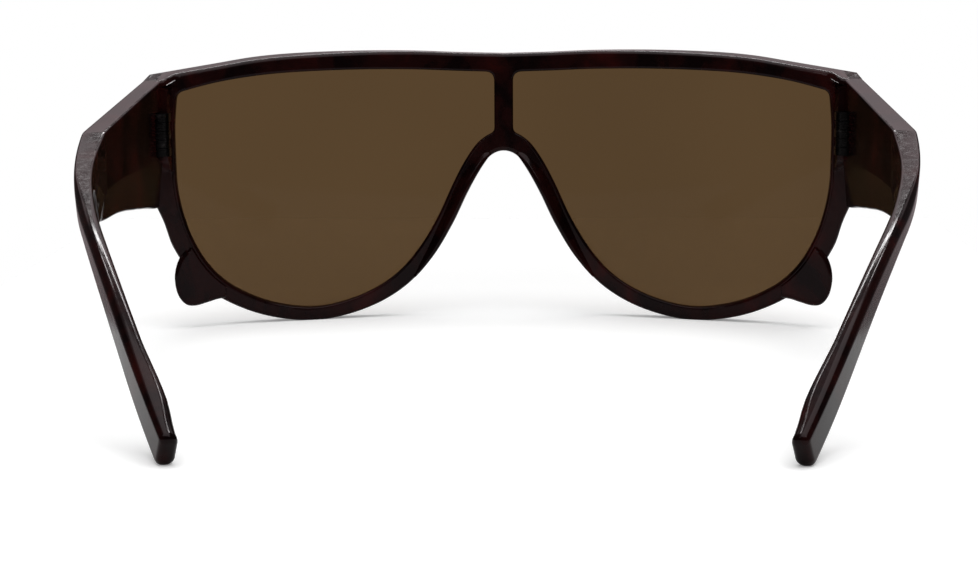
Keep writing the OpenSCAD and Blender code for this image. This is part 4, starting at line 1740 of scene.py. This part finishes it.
@dataclass
class Studio:
    """Table, light and camera, in metres and degrees.

    The camera's focal length is in pixels of an image as wide as image_w.
    """

    spot: Place = (-0.01103, 0.42206, 0.07996)
    pitch: float = 8.535
    yaw: float = 1.661
    roll: float = -0.268
    focal: float = 2311.0
    image_w: float = 978.0
    sensor_w: float = 36.0
    clips: Pair = (0.01, 50.0)
    table_w: float = 0.6
    table_far_w: float = 0.12
    table_y: tuple[float, float, float] = (-0.25, -0.02, 0.16)
    sun_aim: Place = (0.1, -0.1, -1.0)
    sun_angle: float = 60.0
    sun_power: float = 1.7
    aim: Place = (0.0, -0.02, 0.03)
    lamps: tuple[Lamp, ...] = (
        Lamp("left_strip", (-0.35, 0.25, 0.5), (0.06, 0.25), 0.25),
        Lamp("right_strip", (0.35, 0.25, 0.5), (0.06, 0.25), 0.25),
        Lamp("back_strip", (0.0, -0.75, 0.80), (0.60, 0.08), 4.4),
        Lamp("left_column", (-0.288, -0.50, 0.86), (0.05, 0.14), 0.6),
        Lamp("right_column", (0.288, -0.50, 0.86), (0.05, 0.14), 0.6))

    def camera(self) -> None:
        """The photograph's camera: behind the glasses, a little above them."""
        data = bpy.data.cameras.new("camera")
        data.sensor_width = self.sensor_w
        data.lens = self.focal / self.image_w * self.sensor_w
        data.clip_start, data.clip_end = self.clips
        made = in_scene("camera", data)
        turns = [(self.yaw, "Z"), (180.0, "Z"), (90.0, "X"), (-self.pitch, "X"), (self.roll, "Z")]
        place = Matrix.Translation(self.spot)
        for angle, axis in turns:
            place = place @ Matrix.Rotation(math.radians(angle), 4, axis)
        made.matrix_world = place
        bpy.context.scene.camera = made

    def table(self) -> None:
        """A flat table at z = 0 that ends just in front of the camera's view.

        Beyond the glasses it goes on only as wide as the lens shows it.
        """
        mesh = bpy.data.meshes.new("table")
        wide, slim, (far, mid, near) = self.table_w, self.table_far_w, self.table_y
        half = [(slim, far, 0), (slim, mid, 0), (wide, mid, 0), (wide, near, 0)]
        other = [(-x, y, z) for x, y, z in half]
        mesh.from_pydata([other[0], *half, *other[:0:-1]], [], [tuple(range(2 * len(half)))])
        mesh.materials.append(PaleTable().material("pale_table"))
        in_scene("table", mesh)

    def sun(self) -> None:
        """A wide soft sun from above."""
        data = bpy.data.lights.new("ceiling", "SUN")
        data.angle, data.energy = math.radians(self.sun_angle), self.sun_power
        made = in_scene("ceiling", data)
        made.matrix_world = Vector(self.sun_aim).to_track_quat("-Z", "Y").to_matrix().to_4x4()

    def build(self) -> None:
        """Everything round the object, shown by the plain view transform."""
        bpy.context.scene.view_settings.view_transform = "Standard"
        self.camera()
        self.table()
        Room().build()
        self.sun()
        for lamp in self.lamps:
            lamp.build(self.aim)


def dress_nodes(nodes: dict[str, bpy.types.Object], paints: dict[str, bpy.types.Material]) -> None:
    """Gives each CAD node the finish that its name calls for.

    Args:
        nodes: the frame's nodes, by name.
        paints: the finishes, by material slot.
    """
    for name, node in nodes.items():
        slot = ("core_wire" if "core" in name else "hinge_metal" if "hinge" in name else
                "lens" if "lens" in name else "acetate")
        node.data.materials.clear()
        node.data.materials.append(paints[slot])
        LOG.info("%s: %s", name, slot)


def main() -> None:
    """Builds the glasses and their studio, piece by piece."""
    logging.basicConfig(level=logging.INFO, format="%(message)s")
    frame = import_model()
    form = FrontForm()
    y_mid = -(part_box("front_frame")[0].y / MM) - form.front_t
    paints = {
        "acetate": TortoiseAcetate().material("tortoise_acetate"),
        "lens": TintedLens().material("brown_lens"),
        "hinge_metal": HingeMetal().material("black_hinge_metal"),
        "core_wire": DrawnWire().material("drawn_core_wire"),
    }
    shop = Workshop(y_mid, paints)
    Studio().build()
    Front(form, shop).build()
    Lens(form, shop).build()
    for side in Side:
        NosePad(form, shop, side).build()
        SideTab(form, shop, side).build()
    for side in Side:
        Temple(TempleForm(form), shop, side).build()
    dress_nodes(frame["nodes"], paints)


if __name__ == "__main__":
    main()
